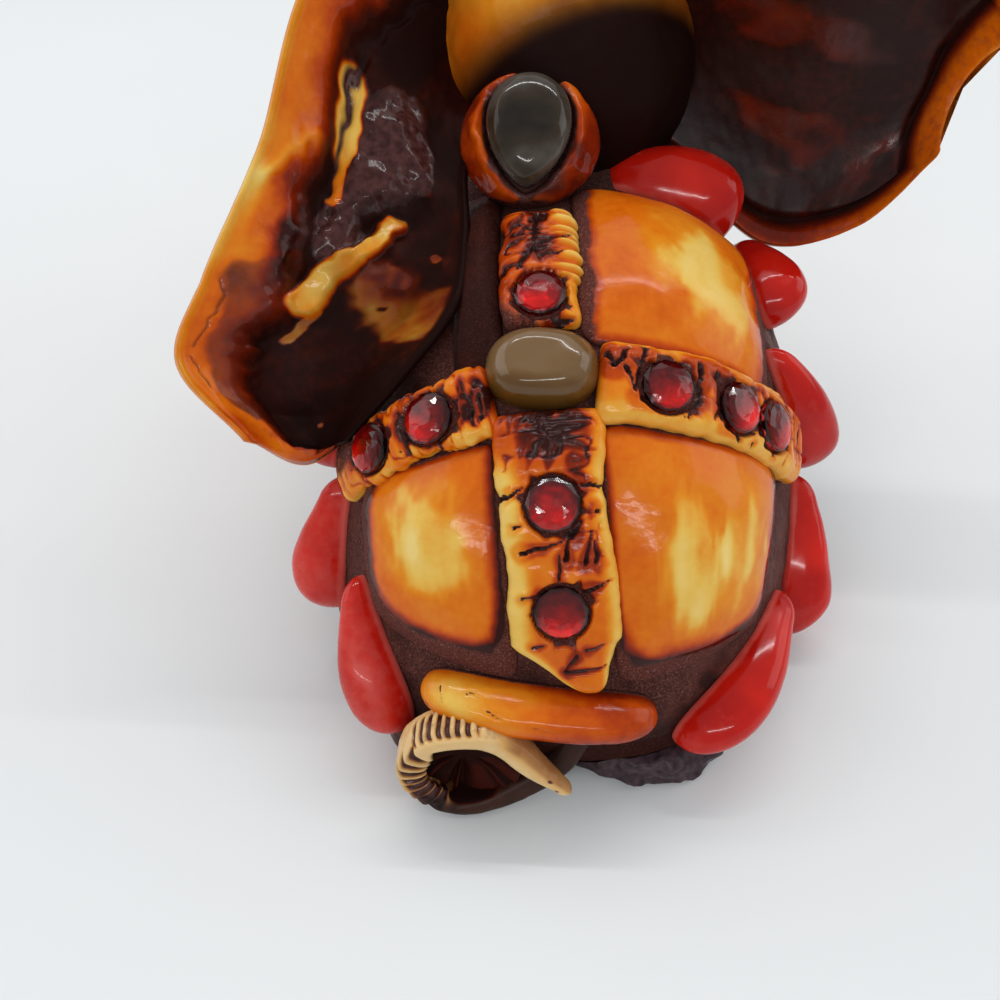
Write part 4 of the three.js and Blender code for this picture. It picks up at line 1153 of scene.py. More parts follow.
def dropRoutes():
    def step(share):
        return share * dropLook["pitch"]

    top, reach, rear, hem = panelReach["frontTop"], panelReach["front"], panelReach["rear"], hemRoll["along"]
    rightEnd = rightStrap["start"] - rightStrap["length"]
    leftEnd = leftStrap["start"] + leftStrap["length"]
    leftTip = leftAlong(leftEnd)
    return {
        "right_drop_1": [(top - step(0.35), -step(0.2)), (top - step(0.25), -reach + step(0.17))],
        "right_drop_2": [(top - step(0.25), -reach - step(0.05)), (top + step(0.62), -reach - step(0.35))],
        "right_drop_3": [(top + step(1.1), -reach - step(0.3)), (-step(0.05), rightEnd - step(0.65))],
        "right_drop_4": [(step(0.3), rightEnd - step(0.55)), (hem + step(0.7), -rear - step(0.9))],
        "right_drop_5": [(hemFront - step(0.2), -rear - step(0.55)), (hem + step(0.45), -rear + step(0.6))],
        "left_drop_1": [(top - step(0.2), reach - step(0.45)), (top - step(0.1), reach + step(0.3))],
        "left_drop_2": [(top + step(0.15), reach + step(0.5)), (top + step(0.6), reach + step(1.1))],
        "left_drop_3": [(top + step(1.2), reach + step(0.65)), (leftTip - step(0.4), leftEnd + step(0.95))],
        "left_drop_4": [(leftTip + step(0.05), leftEnd + step(0.1)), (hem + step(0.15), rear + step(0.65))],
        "left_drop_5": [(hemFront - step(0.4), rear + step(0.05)), (hem + step(0.55), rear - step(0.45))],
    }


# A rolled strip with a round top: share runs from 0 to 1 along it
def rollRings(strip, swellAt, width, height, rows, sides):
    share = (1 - np.cos(np.linspace(0, np.pi, rows)))[:, None] / 2
    angle = np.linspace(0, np.pi, sides)
    swell = swellAt(share)
    c = np.cos(angle) * width / 2 * swell
    lift = np.sin(angle) * height * swell
    baseC = underside(c)
    c = np.concatenate([c, baseC], 1)
    lift = np.concatenate([lift, 0 * baseC - 1.0], 1)
    return share * strip.length + 0 * c, c, lift


def buildDrop(name, narrow, rounded, look=dropLook):
    strip = Strip(blanketPoint(*narrow), blanketPoint(*rounded))
    side, number = name.split("_")[0], int(name[-1])
    before, after = look["reach"].get(name, look["usualReach"])
    width = look["collarWidth"] if number == 1 else look["width"]
    height = look["collarHeight"] if number == 1 else look["height"]

    def swell(share):
        taper = look["narrow"] + (1 - look["narrow"]) * ease(share, -0.05, 0.66)
        return np.maximum(taper * quarterRound(share / 0.14) * quarterRound((1 - share) / 0.3), 0.03)

    t, c, lift = rollRings(strip, swell, width, height, look["rows"], look["sides"])
    t = t * (1 + (before + after) / strip.length) - before
    flat = triples(t, c, lift)
    seed = look["seeds"][side] + number
    dents = 0.05 * softNoise(flat, 2.0, seed) * (lift > 0.3)
    lift = lift * (1 + 0.05 * softNoise(flat, 6.0, seed)) + dents
    rings = strip.place(t, c, glueGap + lift)
    streaks = clayNoise(flat * np.array([0.4, 1.0, 1.0]), 5.0, seed + 1)
    bloom = 0.6 * (1 - ease(lift, 0.2, 1.2)) + look["bloom"][side] + 0.3 * streaks
    addPiece(name, redEnamel, skin(rings, {"grime": bloom}))


for name, route in dropRoutes().items():
    buildDrop(name, *route)
print("drops rolled")


# Hem roll along the rear edge: yellow and pitted on its left, orange on its right
def buildHemRoll(look):
    start = blanketPoint(look["along"] - look["lean"], look["across"] + look["length"] / 2)
    end = blanketPoint(look["along"] + seam + look["lean"], look["across"] - look["length"] / 2)
    strip = Strip(start, end)

    def swell(share):
        return (1 - np.abs(2 * share - 1) ** 5 * 0.96) ** 0.5

    t, c, lift = rollRings(strip, swell, look["width"], look["height"], look["rows"], look["sides"])
    flat = triples(t, c, lift)
    lumps = 0.22 * softNoise(flat, 6.0, 141) + 0.06 * softNoise(flat, 1.5, 142)
    lift = lift + lumps * ease(lift, 0.3, 2.0)
    wavyT, wavyC = t + 0.25 * softNoise(flat, 1.2, 144), c + 0.25 * softNoise(flat, 1.2, 145)
    deep = strokeDepth(wavyT, wavyC, look["cracks"]) * ease(lift, 1.0, 2.5)
    rings = strip.place(t, c, glueGap + np.where(lift > 0, np.maximum(lift - deep, 0), lift))
    # a cream patch on top of the left end is a painted highlight; the bottom of the roll and its lower sides
    # are darker as painted shade
    stain = 0.43 + 0.3 * ease(t, 7, 24) - 0.26 * bump(t, 5.5, 3.0) * bump(c, -1.3, 1.4)
    stain = stain + 0.17 * ease(c, -0.8, 2.8) + 0.18 * (1 - ease(lift, 0.4, 2.5))
    stain = stain + 0.1 * clayNoise(flat, 4.0, 143)
    dirt = np.clip(1 - ease(lift, 0.15, 0.9) + 1.1 * ease(deep, 0.1, 0.35), 0, 1)
    marks = {"stain": stain, "plum": 0.8 * ease(deep, 0.15, 0.4), "grime": dirt}
    addPiece("hem_roll", stainedClay, skin(rings, marks))


buildHemRoll(hemRoll)
print("hem rolled")


# Smooth curves through a few points, stepped evenly by length
def curveThrough(points, count):
    points = np.array(points, float)
    first, last = 2 * points[0] - points[1], 2 * points[-1] - points[-2]
    padded = np.concatenate([[first], points, [last]])
    w = np.linspace(0, 1, 60, endpoint=False)[:, None]
    dense = []
    for p0, p1, p2, p3 in zip(padded, padded[1:], padded[2:], padded[3:]):
        d0, d1, d2 = (max(np.linalg.norm(b - a), 1e-6) ** 0.5 for a, b in ((p0, p1), (p1, p2), (p2, p3)))
        out = ((p1 - p0) / d0 - (p2 - p0) / (d0 + d1) + (p2 - p1) / d1) * d1
        into = ((p2 - p1) / d1 - (p3 - p1) / (d1 + d2) + (p3 - p2) / d2) * d1
        bend, twist = 3 * (p2 - p1) - 2 * out - into, 2 * (p1 - p2) + out + into
        dense.append(p1 + out * w + bend * w ** 2 + twist * w ** 3)
    dense = np.concatenate([*dense, points[-1:]])
    arcs = arcLengths(dense)
    even = np.linspace(0, arcs[-1], count)
    return np.stack([np.interp(even, arcs, dense[:, i]) for i in range(3)], -1)


# The same curve, stepped evenly from point to point
def sharedCurve(points, count):
    points = np.array(points, float)
    segments = len(points) - 1
    dense = curveThrough(points, 1000)
    spots = [int(np.argmin(np.linalg.norm(dense - p, axis=1))) for p in points]
    index = np.interp(np.linspace(0, segments, count), np.arange(segments + 1), spots)
    return np.stack([np.interp(index, np.arange(len(dense)), dense[:, i]) for i in range(3)], -1)


# Ears: hollow flaps from an inner edge to an outer rim, s runs down the ear and w out to the rim
earLook = {
    "thickness": 3.6,
    "hollow": 9.0,
    "hollowShare": 0.36,  # of the ear's width at most
    "rows": 260,
    "columns": 150,
    "backColumns": 60,
    "rimRound": 0.9,
    "endRound": 0.03,
    "endLeast": 0.0199,
    "rootShare": 0.74,  # width at the very root, which rounds off over rootRound
    "rootRound": 0.13,
}


def earSurface(ear, look):
    inner = sharedCurve(ear["inner"], look["rows"])
    outer = sharedCurve(ear["outer"], look["rows"])
    way = unit(np.array(ear["hollowWay"]))
    run = outer - inner
    deep = np.minimum(look["hollow"], np.linalg.norm(run, axis=1) * look["hollowShare"])[:, None]
    s = np.linspace(0, 1, look["rows"])[:, None]
    run = run * (look["rootShare"] + (1 - look["rootShare"]) * quarterRound(s / look["rootRound"]))
    closing = quarterRound((1 - s) / look["endRound"], look["endLeast"])
    endWay = unit(outer[-1] + inner[-1] - outer[-20] - inner[-20])
    growth = 1.15 * ear["endGrowth"] * ease(s, 0.68, 1.0)

    def face(w, side, lift):
        grown = growth * np.sin(np.pi * w) ** 1.3
        bow = np.sin(np.pi * w) ** 0.8 * deep
        half = look["thickness"] / 2 * np.sin(np.pi * np.clip(w, 0.04, 0.96)) ** 0.35 * closing
        out = (bow + half * side - lift * closing)[..., None] * way + grown[..., None] * endWay
        return inner[:, None] + run[:, None] * w[..., None] + out

    return face, unit(run)


def buildEar(name, ear, sculpt, look=earLook):
    face, runWay = earSurface(ear, look)
    s = np.linspace(0, 1, look["rows"])[:, None]
    w = np.linspace(0, 1, look["columns"])[None, :]
    lift, marks = sculpt(s, w, triples(s * ear["length"], w * ear["width"], 0))
    near = face(np.broadcast_to(w, lift.shape), -1, lift)
    back = np.linspace(1, 0, look["backColumns"])[None, :] * np.ones_like(s)
    flat = triples(s * ear["length"], back * ear["width"], 40)
    seed = ear["seed"]
    far = face(back, 1, -0.35 * clayNoise(flat, 5.0, seed + 9))
    rim = (near[:, -1:] + far[:, :1]) / 2 + runWay[:, None] * look["rimRound"]
    inRim = (near[:, :1] + far[:, -1:]) / 2 - runWay[:, None] * look["rimRound"]
    # along the inner edge, where the ear meets the head, the back gets plum wash and painted shade
    backMarks = {
        "stain": ear["backStain"] + 0.12 * clayNoise(flat, 10.0, seed + 8) - 0.2 * ease(back, 0.9, 1.0),
        "plum": 0.3 * (1 - ease(back, 0.05, 0.4)),
        "grime": 0.25 + 0.25 * clayNoise(flat, 6.0, seed + 7) - 0.3 * ease(back, 0.5, 0.9),
        "shade": 1 - ease(back, 0.1, 0.3),
    }
    joined = {}
    for key, values in marks.items():
        joined[key] = np.concatenate([values, values[:, -1:], backMarks[key], values[:, :1]], 1)
    addPiece(name, stainedClay, skin(np.concatenate([near, rim, far, inRim], 1), joined))


# How close each spot lies to a stroke, from 1 on it to 0 away from it; s counts two and a half times w
def strokeIn(s, w, first, second, width):
    run = np.array([(second[0] - first[0]) * 2.5, second[1] - first[1]])
    a, b = (s - first[0]) * 2.5, w - first[1]
    share = np.clip((a * run[0] + b * run[1]) / (run @ run), 0, 1)
    away = np.hypot(a - share * run[0], b - share * run[1])
    return np.exp(-((away / width) ** 2)), share


# The same for a line of strokes through several points
def lineIn(s, w, points, width):
    strokes = [strokeIn(s, w, first, second, width)[0] for first, second in zip(points, points[1:])]
    return np.max(strokes, axis=0)


def spot(s, w, place, size):
    return np.exp(-(((s - place[0]) / size[0]) ** 2) - ((w - place[1]) / size[1]) ** 2)


def clipped(**marks):
    return {key: np.clip(values, 0, 1) for key, values in marks.items()}


# Left ear: its forms and stains lie at places given as (s, w)
leftEar = {
    "inner": [(14, -38, 66), (16, -22, 61), (15, -9, 58), (15.5, 3, 55), (21.5, 10, 49), (30, 12, 38)],
    "outer": [(16, -44, 90), (35, -28, 86), (42, -12, 68), (48, 2, 57), (51, 10, 49), (42, 15, 40)],
    "hollowWay": (0.1, -0.6, -0.79),
    "endGrowth": 2.4,
    "length": 75.0,
    "width": 30.0,
    "seed": 151,
    "backStain": 0.5,
    "lip": [
        (0.0, 0.80), (0.33, 0.78), (0.40, 0.79), (0.49, 0.74), (0.58, 0.72), (0.68, 0.73), (0.76, 0.73),
        (0.83, 0.72), (0.88, 0.66), (0.94, 0.56), (0.97, 0.38), (0.99, 0.18), (1.0, 0.0),
    ],
    "ridge": [(0.60, 0.65), (0.50, 0.51), (0.38, 0.31)],
    "valley": [(0.35, 0.24), (0.43, 0.50)],
    "lobe": [(0.38, 0.52), (0.47, 0.61)],
    "tongue": [(0.61, 0.60), (0.69, 0.65)],
    "fold": [(0.43, 0.96), (0.35, 0.82)],
    "stripTop": [(0.26, 0.70), (0.34, 0.68)],
    "stripTail": [(0.34, 0.69), (0.41, 0.665)],
    "amber": [(0.55, 0.34), (0.63, 0.15)],
    "smear": [(0.59, 0.81), (0.71, 0.80), (0.84, 0.76)],
    "cracks": [
        [(0.60, 0.95), (0.63, 0.92), (0.70, 0.93), (0.77, 0.95)],
        [(0.79, 0.95), (0.81, 0.92), (0.84, 0.91)],
    ],
}


def sculptLeftEar(s, w, flat):
    ear = leftEar
    edgeW = w
    s = s + 0.012 * clayNoise(flat, 6.0, 161) + 0.004 * softNoise(flat, 1.3, 162)
    stray = 0.04 * clayNoise(flat, 6.0, 163) + 0.014 * softNoise(flat, 1.3, 164)
    w = w + stray * (1 - ease(w, 0.85, 1.0))
    lipS, lipW = np.array(ear["lip"]).T
    past = w - np.interp(s, lipS, lipW) + 0.02 * softNoise(flat, 4.0, 151)  # above 0 on the rim band
    rim = ease(past, -0.05, 0.06)
    inside = 1 - rim

    # forms: the wrinkled mound, the bent ridge, a tongue, a fold and the groove along the rim
    wrinkles = 0.7 * softNoise(flat, 3.0, 152) + 0.5 * softNoise(flat, 1.5, 165)
    lump = spot(s, w, (0.29, 0.40), (0.10, 0.22))
    mound = np.clip(lump + 0.75 * lineIn(s, w, ear["lobe"], 0.12), 0, 1)
    onMound = ease(mound, 0.28, 0.5)
    valley = lineIn(s, w, ear["valley"], 0.06)
    ridgeA = lineIn(s, w, ear["ridge"][:2], 0.07)
    ridgeB, alongB = strokeIn(s, w, ear["ridge"][1], ear["ridge"][2], 0.05)
    ridge = np.maximum(ridgeA, ridgeB * (1 - 0.75 * ease(alongB, 0.7, 1.0)))
    offRidge = 1 - ease(ridge, 0.3, 0.5)
    tongue = lineIn(s, w, ear["tongue"], 0.035)
    fold = lineIn(s, w, ear["fold"], 0.03)
    groove = bump(past, -0.07, 0.03) * ease(0.5 - s, 0, 0.06)
    hollow = inside * ease(s, 0.46, 0.60) * ease(w, 0.03, 0.25)
    cracks = np.max([lineIn(s, w, crack, 0.005) for crack in ear["cracks"]], axis=0)
    lift = 1.7 * rim * (1 - 0.5 * ease(w, 0.9, 1.0)) + 2.8 * mound + 0.5 * wrinkles * onMound
    lift = lift + 1.6 * ease(ridge, 0.22, 0.75) + 0.6 * fold
    lift = lift - 1.2 * groove - 1.0 * valley - 2.2 * hollow - 0.25 * cracks
    lift = lift + (0.3 - 0.15 * rim) * clayNoise(flat, 5.0, 153)

    # the rim: mottled orange, pale along its edge, red and cream in patches
    stain = 0.57 + 0.16 * clayNoise(flat, 7.0, 155) - 0.16 * ease(edgeW, 0.97, 1.0) - 0.28 * fold
    stain = stain + 0.2 * (1 - ease(past, 0.04, 0.13)) + 0.12 * ease(s, 0.86, 1.0)
    stain = stain + 0.2 * spot(s, w, (0.42, 0.88), (0.04, 0.05))
    stain = stain - 0.33 * spot(s, w, (0.455, 0.97), (0.05, 0.045))
    stain = stain + 0.28 * spot(s, w, (0.53, 0.78), (0.06, 0.06))
    # inside the rim the clay is stained near black: dark clay together with painted shade
    stain = stain * rim + 0.97 * inside

    # inside it: cream ridge and strip and amber patches, the amber lit and paler on its low side as painted
    # light; everything else dark as painted shade
    creamy = np.maximum(ridgeA, ridgeB * (1 - 0.55 * alongB))
    cream = 0.84 - 0.52 * ease(creamy, 0.3, 0.6) + 0.16 * clayNoise(flat, 3.0, 166)
    stain = np.where(ridge > 0.3, np.minimum(stain, cream), stain)
    strip = np.maximum(lineIn(s, w, ear["stripTop"], 0.075), lineIn(s, w, ear["stripTail"], 0.035))
    onStrip = ease(strip, 0.3, 0.6)
    stain = stain + (0.22 - stain) * ease(strip, 0.35, 0.65)
    amber = ease(lineIn(s, w, ear["amber"], 0.13) + 0.3 * clayNoise(flat, 2.8, 160), 0.0, 0.75)
    amber = amber * (1 - 0.8 * ease(spot(s, w, (0.585, 0.30), (0.005, 0.018)), 0.1, 0.7))
    lowSide = ease(s + 0.36 * w + 0.01 * softNoise(flat, 2.5, 161), 0.635, 0.725)
    specks = spot(s, w, (0.47, 0.13), (0.012, 0.03)) + spot(s, w, (0.88, 0.36), (0.009, 0.025))
    specks = ease(specks, 0.3, 0.7)
    streaks = ease(0.17 - w, 0, 0.08) * ease(s, 0.3, 0.36) * (1 - ease(s, 0.5, 0.54))
    streaks = streaks * ease(softNoise(flat * np.array([0.4, 1.4, 1.0]), 2.6, 157), -0.1, 0.5)
    warm = np.clip(amber + specks + 0.3 * streaks + ease(tongue, 0.4, 0.8), 0, 1) * offRidge
    amberTone = 0.66 - 0.14 * lowSide + 0.26 * clayNoise(flat, 2.6, 159)
    stain = stain + (amberTone - stain) * ease(warm, 0.0, 0.7) * inside
    stain = stain + 0.32 * onStrip * ease(s, 0.31, 0.4)

    # painted shade darkens the inside, though not where it is lit, on the mound, the ridge or the strip, and
    # fills the valley, the cracks and the inner edge; a little shade also goes on the ridge; a plum smear
    # runs over the rim
    lit = warm ** 1.5 * (0.14 + 0.2 * np.maximum(lowSide, ease(specks + tongue, 0.2, 1.0)))
    outOfShade = np.clip(lit + onMound + ease(ridge, 0.25, 0.45) + onStrip, 0, 1)
    shade = inside * (1 - outOfShade) * (0.98 - 0.2 * ease(clayNoise(flat, 9.0, 167), 0.0, 0.5))
    shade = shade + valley * offRidge + 0.7 * cracks
    shade = np.maximum(shade, 1 - ease(edgeW, 0.02, 0.07))
    shade = shade + 0.2 * ease(ridge, 0.3, 0.6) * (0.6 + clayNoise(flat, 4.0, 168))
    smear = lineIn(s, w, ear["smear"], 0.13)
    smear = ease(smear + 0.3 * clayNoise(flat, 4.0, 158), 0.15, 0.65) * rim
    stain = np.clip(stain, 0, 1)
    stain = stain + 0.24 * smear * (1 - stain)
    plum = onMound * (1 - onStrip) * offRidge + 0.8 * groove + 0.55 * smear
    grime = 0.3 * smear + 0.4 * ease(s, 0.84, 0.95) * bump(past, 0.12, 0.14)
    return lift, clipped(stain=stain, plum=plum, grime=np.minimum(grime, 0.7), shade=shade)


# Right ear: dark inside, stained near black and given painted shade, with a thin lip
rightEar = {
    "inner": [(-7, -42, 58), (-19, -39, 49), (-30, -34, 43), (-42, -31, 48.5), (-52, -31.5, 61.5)],
    "outer": [(-8, -44, 88), (-22, -38, 94), (-38, -36, 95), (-52, -35, 90), (-58, -34, 76)],
    "hollowWay": (0.1, -0.9, -0.2),
    "endGrowth": 0.0,
    "length": 60.0,
    "width": 40.0,
    "seed": 171,
    "backStain": 0.55,
    "lipWidth": 0.05,
}


def sculptRightEar(s, w, flat):
    fromEdge = np.minimum(np.minimum(w, 1 - w), (1 - s) * 0.45) + 0.006 * softNoise(flat, 9.0, 172)
    lip = rightEar["lipWidth"]
    rim = 1 - ease(fromEdge, lip * 0.75, lip * 1.05)
    groove = bump(fromEdge, lip * 1.1, 0.014)
    folds = softNoise(flat * np.array([0.35, 1.0, 1.0]), 9.0, 173)
    lift = 1.4 * rim - 1.0 * groove + 0.7 * (1 - rim) * folds + 0.15 * clayNoise(flat, 4.0, 174)
    scuff = ease(clayNoise(flat * np.array([0.5, 1.0, 1.0]), 6.0, 175), 0.1, 0.6)
    rimStain = 0.88 - 0.26 * ease(s, 0.5, 0.85) - 0.1 * (1 - ease(fromEdge, 0.0, 0.02))
    stain = rim * rimStain + (1 - rim) * (1.0 - 0.08 * scuff)
    plum = (1 - rim) * (0.2 + 0.3 * scuff)
    grime = 0.35 * rim + 0.3 * bump(fromEdge, lip * 1.35, 0.012) * scuff
    shade = np.maximum(0.95 * groove, (0.66 - 0.4 * scuff) * (1 - rim))
    return lift, clipped(stain=stain, plum=plum, grime=grime, shade=shade)


buildEar("left_ear", leftEar, sculptLeftEar)
buildEar("right_ear", rightEar, sculptRightEar)
print("ears modelled")

# Head, in a frame of its own that is turned and tipped
headLook = {
    "at": (3.0, -49.0, 65.0),
    "half": (20.0, 21.0, 22.0),
    "turn": 20.0,
    "tip": 7.0,
    "rows": 150,
    "columns": 220,
    "swells": [  # way out, height and width as shares of the head
        ((0.42, -0.1, 0.9), 0.14, 0.45), ((-0.42, -0.1, 0.9), 0.14, 0.45), ((0, -0.9, -0.2), 0.2, 0.6),
        ((0, -0.55, -0.85), 0.12, 0.5), ((0.8, -0.62, 0.1), -0.08, 0.3), ((-0.8, -0.62, 0.1), -0.08, 0.3),
    ],
    "eyes": {"left_eye": (0.76, -0.62, 0.18), "right_eye": (-0.76, -0.62, 0.18)},
    "eyeRadius": 2.2,
}
headHalf = np.array(headLook["half"])


def turnAbout(axis, degrees):
    angle = math.radians(degrees)
    a, b = (axis + 1) % 3, (axis + 2) % 3
    turn = np.eye(3)
    turn[a, a] = turn[b, b] = math.cos(angle)
    turn[a, b], turn[b, a] = -math.sin(angle), math.sin(angle)
    return turn


headTurn = turnAbout(2, headLook["turn"]) @ turnAbout(1, headLook["tip"])


def fromHead(points):
    return points @ headTurn.T + np.array(headLook["at"])


def buildHead(look):
    out = ball(look["rows"], look["columns"])
    size = np.ones(out.shape[:-1])
    for place, by, wide in look["swells"]:
        size = size + by * np.exp(-np.sum((out - np.array(place)) ** 2, -1) / wide ** 2)
    points = out * size[..., None] * headHalf
    creases = np.zeros_like(size)
    for place in look["eyes"].values():
        away = np.linalg.norm(points - np.array(place) * headHalf, axis=-1)
        points = points + out * (0.9 * bump(away, 3.4, 0.9) - 1.2 * bump(away, 0.0, 2.2))[..., None]
        creases = np.maximum(creases, np.maximum(bump(away, 4.8, 0.7), bump(away, 0.0, 3.0)))
    folds = np.sin(points[..., 2] * 1.15 + 2.2 * softNoise(points, 7.0, 181))
    folds = folds * bump(points[..., 0], 0, 9) * ease(-points[..., 1], 6, 16)
    lines = ease(folds, 0.55, 0.95) * ease(6 - points[..., 2], 0, 8)
    points = points + out * (0.4 * clayNoise(points, 5.0, 182) - 0.55 * lines)[..., None]
    rear, up = out[..., 1], out[..., 2]
    stain = 0.5 + 0.14 * clayNoise(points, 10.0, 183) - 0.22 * ease(up, 0.5, 0.95) + 0.2 * ease(-up, 0.2, 0.8)
    # the rear of the head, towards the nape and low down, is darkened with plum wash and painted shade
    plum = np.clip(0.9 * lines + 0.8 * creases + 0.5 * ease(rear, 0.4, 0.9), 0, 1)
    shade = ease(rear - 0.6 * up, 0.0, 0.45)
    marks = {"stain": stain, "plum": plum, "grime": 0.4 * lines, "shade": shade}
    addPiece("head", stainedClay, skin(fromHead(points), marks))


buildHead(headLook)


# Tubes along a curve: the frame is carried along it without twisting
def tubeRings(line, radii, sides, firstWay):
    tangents = unit(np.gradient(line, axis=0))
    normal = np.array(firstWay, float)
    rings = []
    angle = ringAngles(sides)
    for place, tangent, radius in zip(line, tangents, radii):
        normal = unit(normal - tangent * np.dot(normal, tangent))
        other = np.cross(tangent, normal)
        rings.append(place + radius * (np.cos(angle)[:, None] * normal + np.sin(angle)[:, None] * other))
    return np.array(rings), angle


trunkLook = {
    "root": 10.5,
    "tip": 4.2,
    "floorGap": 3.8,
    "reach": 9.0,
    "curl": 13.0,
    "wrinkles": 34,
    "rows": 320,
    "sides": 72,
}


def buildTrunk(look):
    hang = headLook["at"][2] - look["tip"] - look["floorGap"]
    front = -headHalf[1] - look["reach"]
    reach, curl = look["reach"], look["curl"]
    path = [
        (0, -0.8 * headHalf[1], -0.18 * headHalf[2]), (0, front + reach / 3, -0.21 * hang),
        (0, front, -0.47 * hang), (0, front + reach / 3, -0.74 * hang),
        (0, front + reach / 9, -0.95 * hang), (0, front - 0.62 * curl, -hang),
        (0, front - curl, -0.88 * hang), (0, front - 0.62 * curl, -0.79 * hang),
    ]
    line = curveThrough(path, look["rows"])
    share = np.linspace(0, 1, look["rows"])
    wave = np.sin(2 * np.pi * look["wrinkles"] * share ** 0.9)[:, None]
    radii = look["root"] + (look["tip"] - look["root"]) * share ** 0.8
    closing = quarterRound((1 - share) / 0.015, 0.05)
    rings, angle = tubeRings(line, radii * closing, look["sides"], (1, 0, 0))
    share = share[:, None]
    out = unit(rings - line[:, None])
    crease = ease(wave + 0.5 * softNoise(rings, 3.0, 191), 0.55, 1.1)
    crease = crease * ease(np.cos(angle - np.pi / 2), -1.0, 0.4)
    rings = rings + out * (0.25 * clayNoise(rings, 4.0, 192) - 0.6 * crease * (1 - 0.5 * share))[..., None]
    stain = 0.62 + 0.12 * clayNoise(rings, 8.0, 193) - 0.25 * share ** 2
    marks = {"stain": stain, "plum": 0.9 * crease, "grime": 0.5 * crease}
    addPiece("trunk", stainedClay, skin(fromHead(rings), marks))


tuskLook = {
    "radius": 2.8,
    "length": 20.0,
    "root": (0.55, -0.71, -0.59),
    "bend": (0.1, -0.5, -0.35),
    "tip": (0.15, -1.0, -0.05),
    "rows": 90,
    "sides": 40,
}


def buildTusk(name, sign, look=tuskLook):
    mirror = np.array([sign, 1, 1])
    root = np.array(look["root"]) * mirror * headHalf
    bend = root + np.array(look["bend"]) * mirror * look["length"]
    tip = root + np.array(look["tip"]) * mirror * look["length"]
    share = np.linspace(0, 1, look["rows"])[:, None]
    line = root * (1 - share) ** 2 + 2 * bend * share * (1 - share) + tip * share ** 2
    radii = look["radius"] * (1 - 0.8 * share[:, 0]) * quarterRound((1 - share[:, 0]) / 0.06, 0.02)
    rings, angle = tubeRings(line, radii, look["sides"], (1, 0, 0))
    grain = softNoise(triples(3 * np.cos(angle), 3 * np.sin(angle), 2 * share), 0.8, 195)
    rings = rings + unit(rings - line[:, None]) * (0.06 * grain * (1 - share))[..., None]
    stain = 0.12 + 0.5 * (1 - ease(share, 0.2, 0.55)) + 0.12 * grain
    marks = {"stain": stain, "plum": 0.0, "grime": 0.5 * (1 - ease(share, 0.25, 0.4))}
    addPiece(name, ivoryClay, skin(fromHead(rings), marks))


def buildEye(name, place):
    out = ball(36, 48)
    at = np.array(place) * headHalf
    facing = out @ unit(at)
    swell = 1 + 0.05 * bump(facing, 0.55, 0.12) - 0.05 * ease(facing, 0.9, 0.99)
    points = at + out * headLook["eyeRadius"] * swell[..., None]
    addPiece(name, darkBead, skin(fromHead(points), {"stain": 0.8 - 0.6 * bump(facing, 0.75, 0.12)}))


buildTrunk(trunkLook)
buildTusk("left_tusk", 1)
buildTusk("right_tusk", -1)
for name, place in headLook["eyes"].items():
    buildEye(name, place)
print("head, trunk and tusks modelled")

# Nape mount: a clay cushion whose rim holds a droplet stone
napeLook = {
    "at": (7.0, -25.5, 63.0),
    "lean": 48.0,
    "depth": 11.0,
    "rim": 3.3,
    "end": 1.5,
    "stoneWidth": 13.4,
    "stoneLength": 16.0,
    "stoneHeight": 4.4,
    "stoneSunk": 1.2,
    "rows": 110,
    "columns": 160,
    "stoneLevels": 30,
    "stoneSides": 120,
}
napeTurn = turnAbout(0, napeLook["lean"] - 90)


def fromNape(points):
    return points @ napeTurn.T + np.array(napeLook["at"])


def dropletLine(width, length, count):
    angle = ringAngles(count)
    narrowing = np.abs(np.sin(angle / 2)) ** 0.4
    return np.stack([width / 2 * np.sin(angle) * narrowing, length / 2 * np.cos(angle)], -1)


def buildNapeMount(look):
    face = look["depth"] / 2
    half = np.array([look["stoneWidth"] / 2 + look["rim"], look["stoneLength"] / 2 + look["end"], face])
    out = np.roll(ball(look["rows"], look["columns"]), 1, axis=-1)
    points = out * half
    outline = dropletLine(look["stoneWidth"] + 2 * glueGap, look["stoneLength"] + 2 * glueGap, 240)
    away = np.min(np.linalg.norm(points[..., None, :2] - outline, axis=-1), axis=-1)
    oneSide = outline[120::-1]
    across = np.interp(points[..., 1], oneSide[:, 1], np.abs(oneSide[:, 0]))
    inside = np.abs(points[..., 0]) < across
    inside = inside & (np.abs(points[..., 1]) < look["stoneLength"] / 2 + glueGap)
    upper = out[..., 2] > 0
    ragged = away - 0.5 * softNoise(points, 2.0, 201)
    bezel = np.where(upper & ~inside, 1.7 * bump(ragged, 1.3, 1.1), 0)
    raised = points[..., 2] + bezel
    seat = np.minimum(raised, face - look["stoneSunk"] - glueGap)
    points[..., 2] = np.where(upper & inside, seat, raised)
    points = points + out * (0.3 * clayNoise(points, 4.0, 202) * ~inside)[..., None]
    # dark: painted shade round the stone and under the mount, with random dark patches; it is painted as plum
    # wash and dust, and round the stone also as shade
    dark = np.where(upper, bump(away, 0.0, 0.6), 0) + 0.8 * (1 - ease(out[..., 2], -0.1, 0.3))
    dark = dark + 0.6 * ease(clayNoise(points, 6.0, 205), 0.15, 0.6)
    marks = {
        "stain": 0.84 + 0.14 * clayNoise(points, 5.0, 203) - 0.07 * bezel,
        "plum": np.clip(dark, 0, 1),
        "grime": 0.2 + 0.35 * dark,
        "shade": 0.9 * np.where(upper, bump(away, 0.0, 0.5), 0),
    }
    addPiece("nape_mount", stainedClay, skin(fromNape(points), marks))


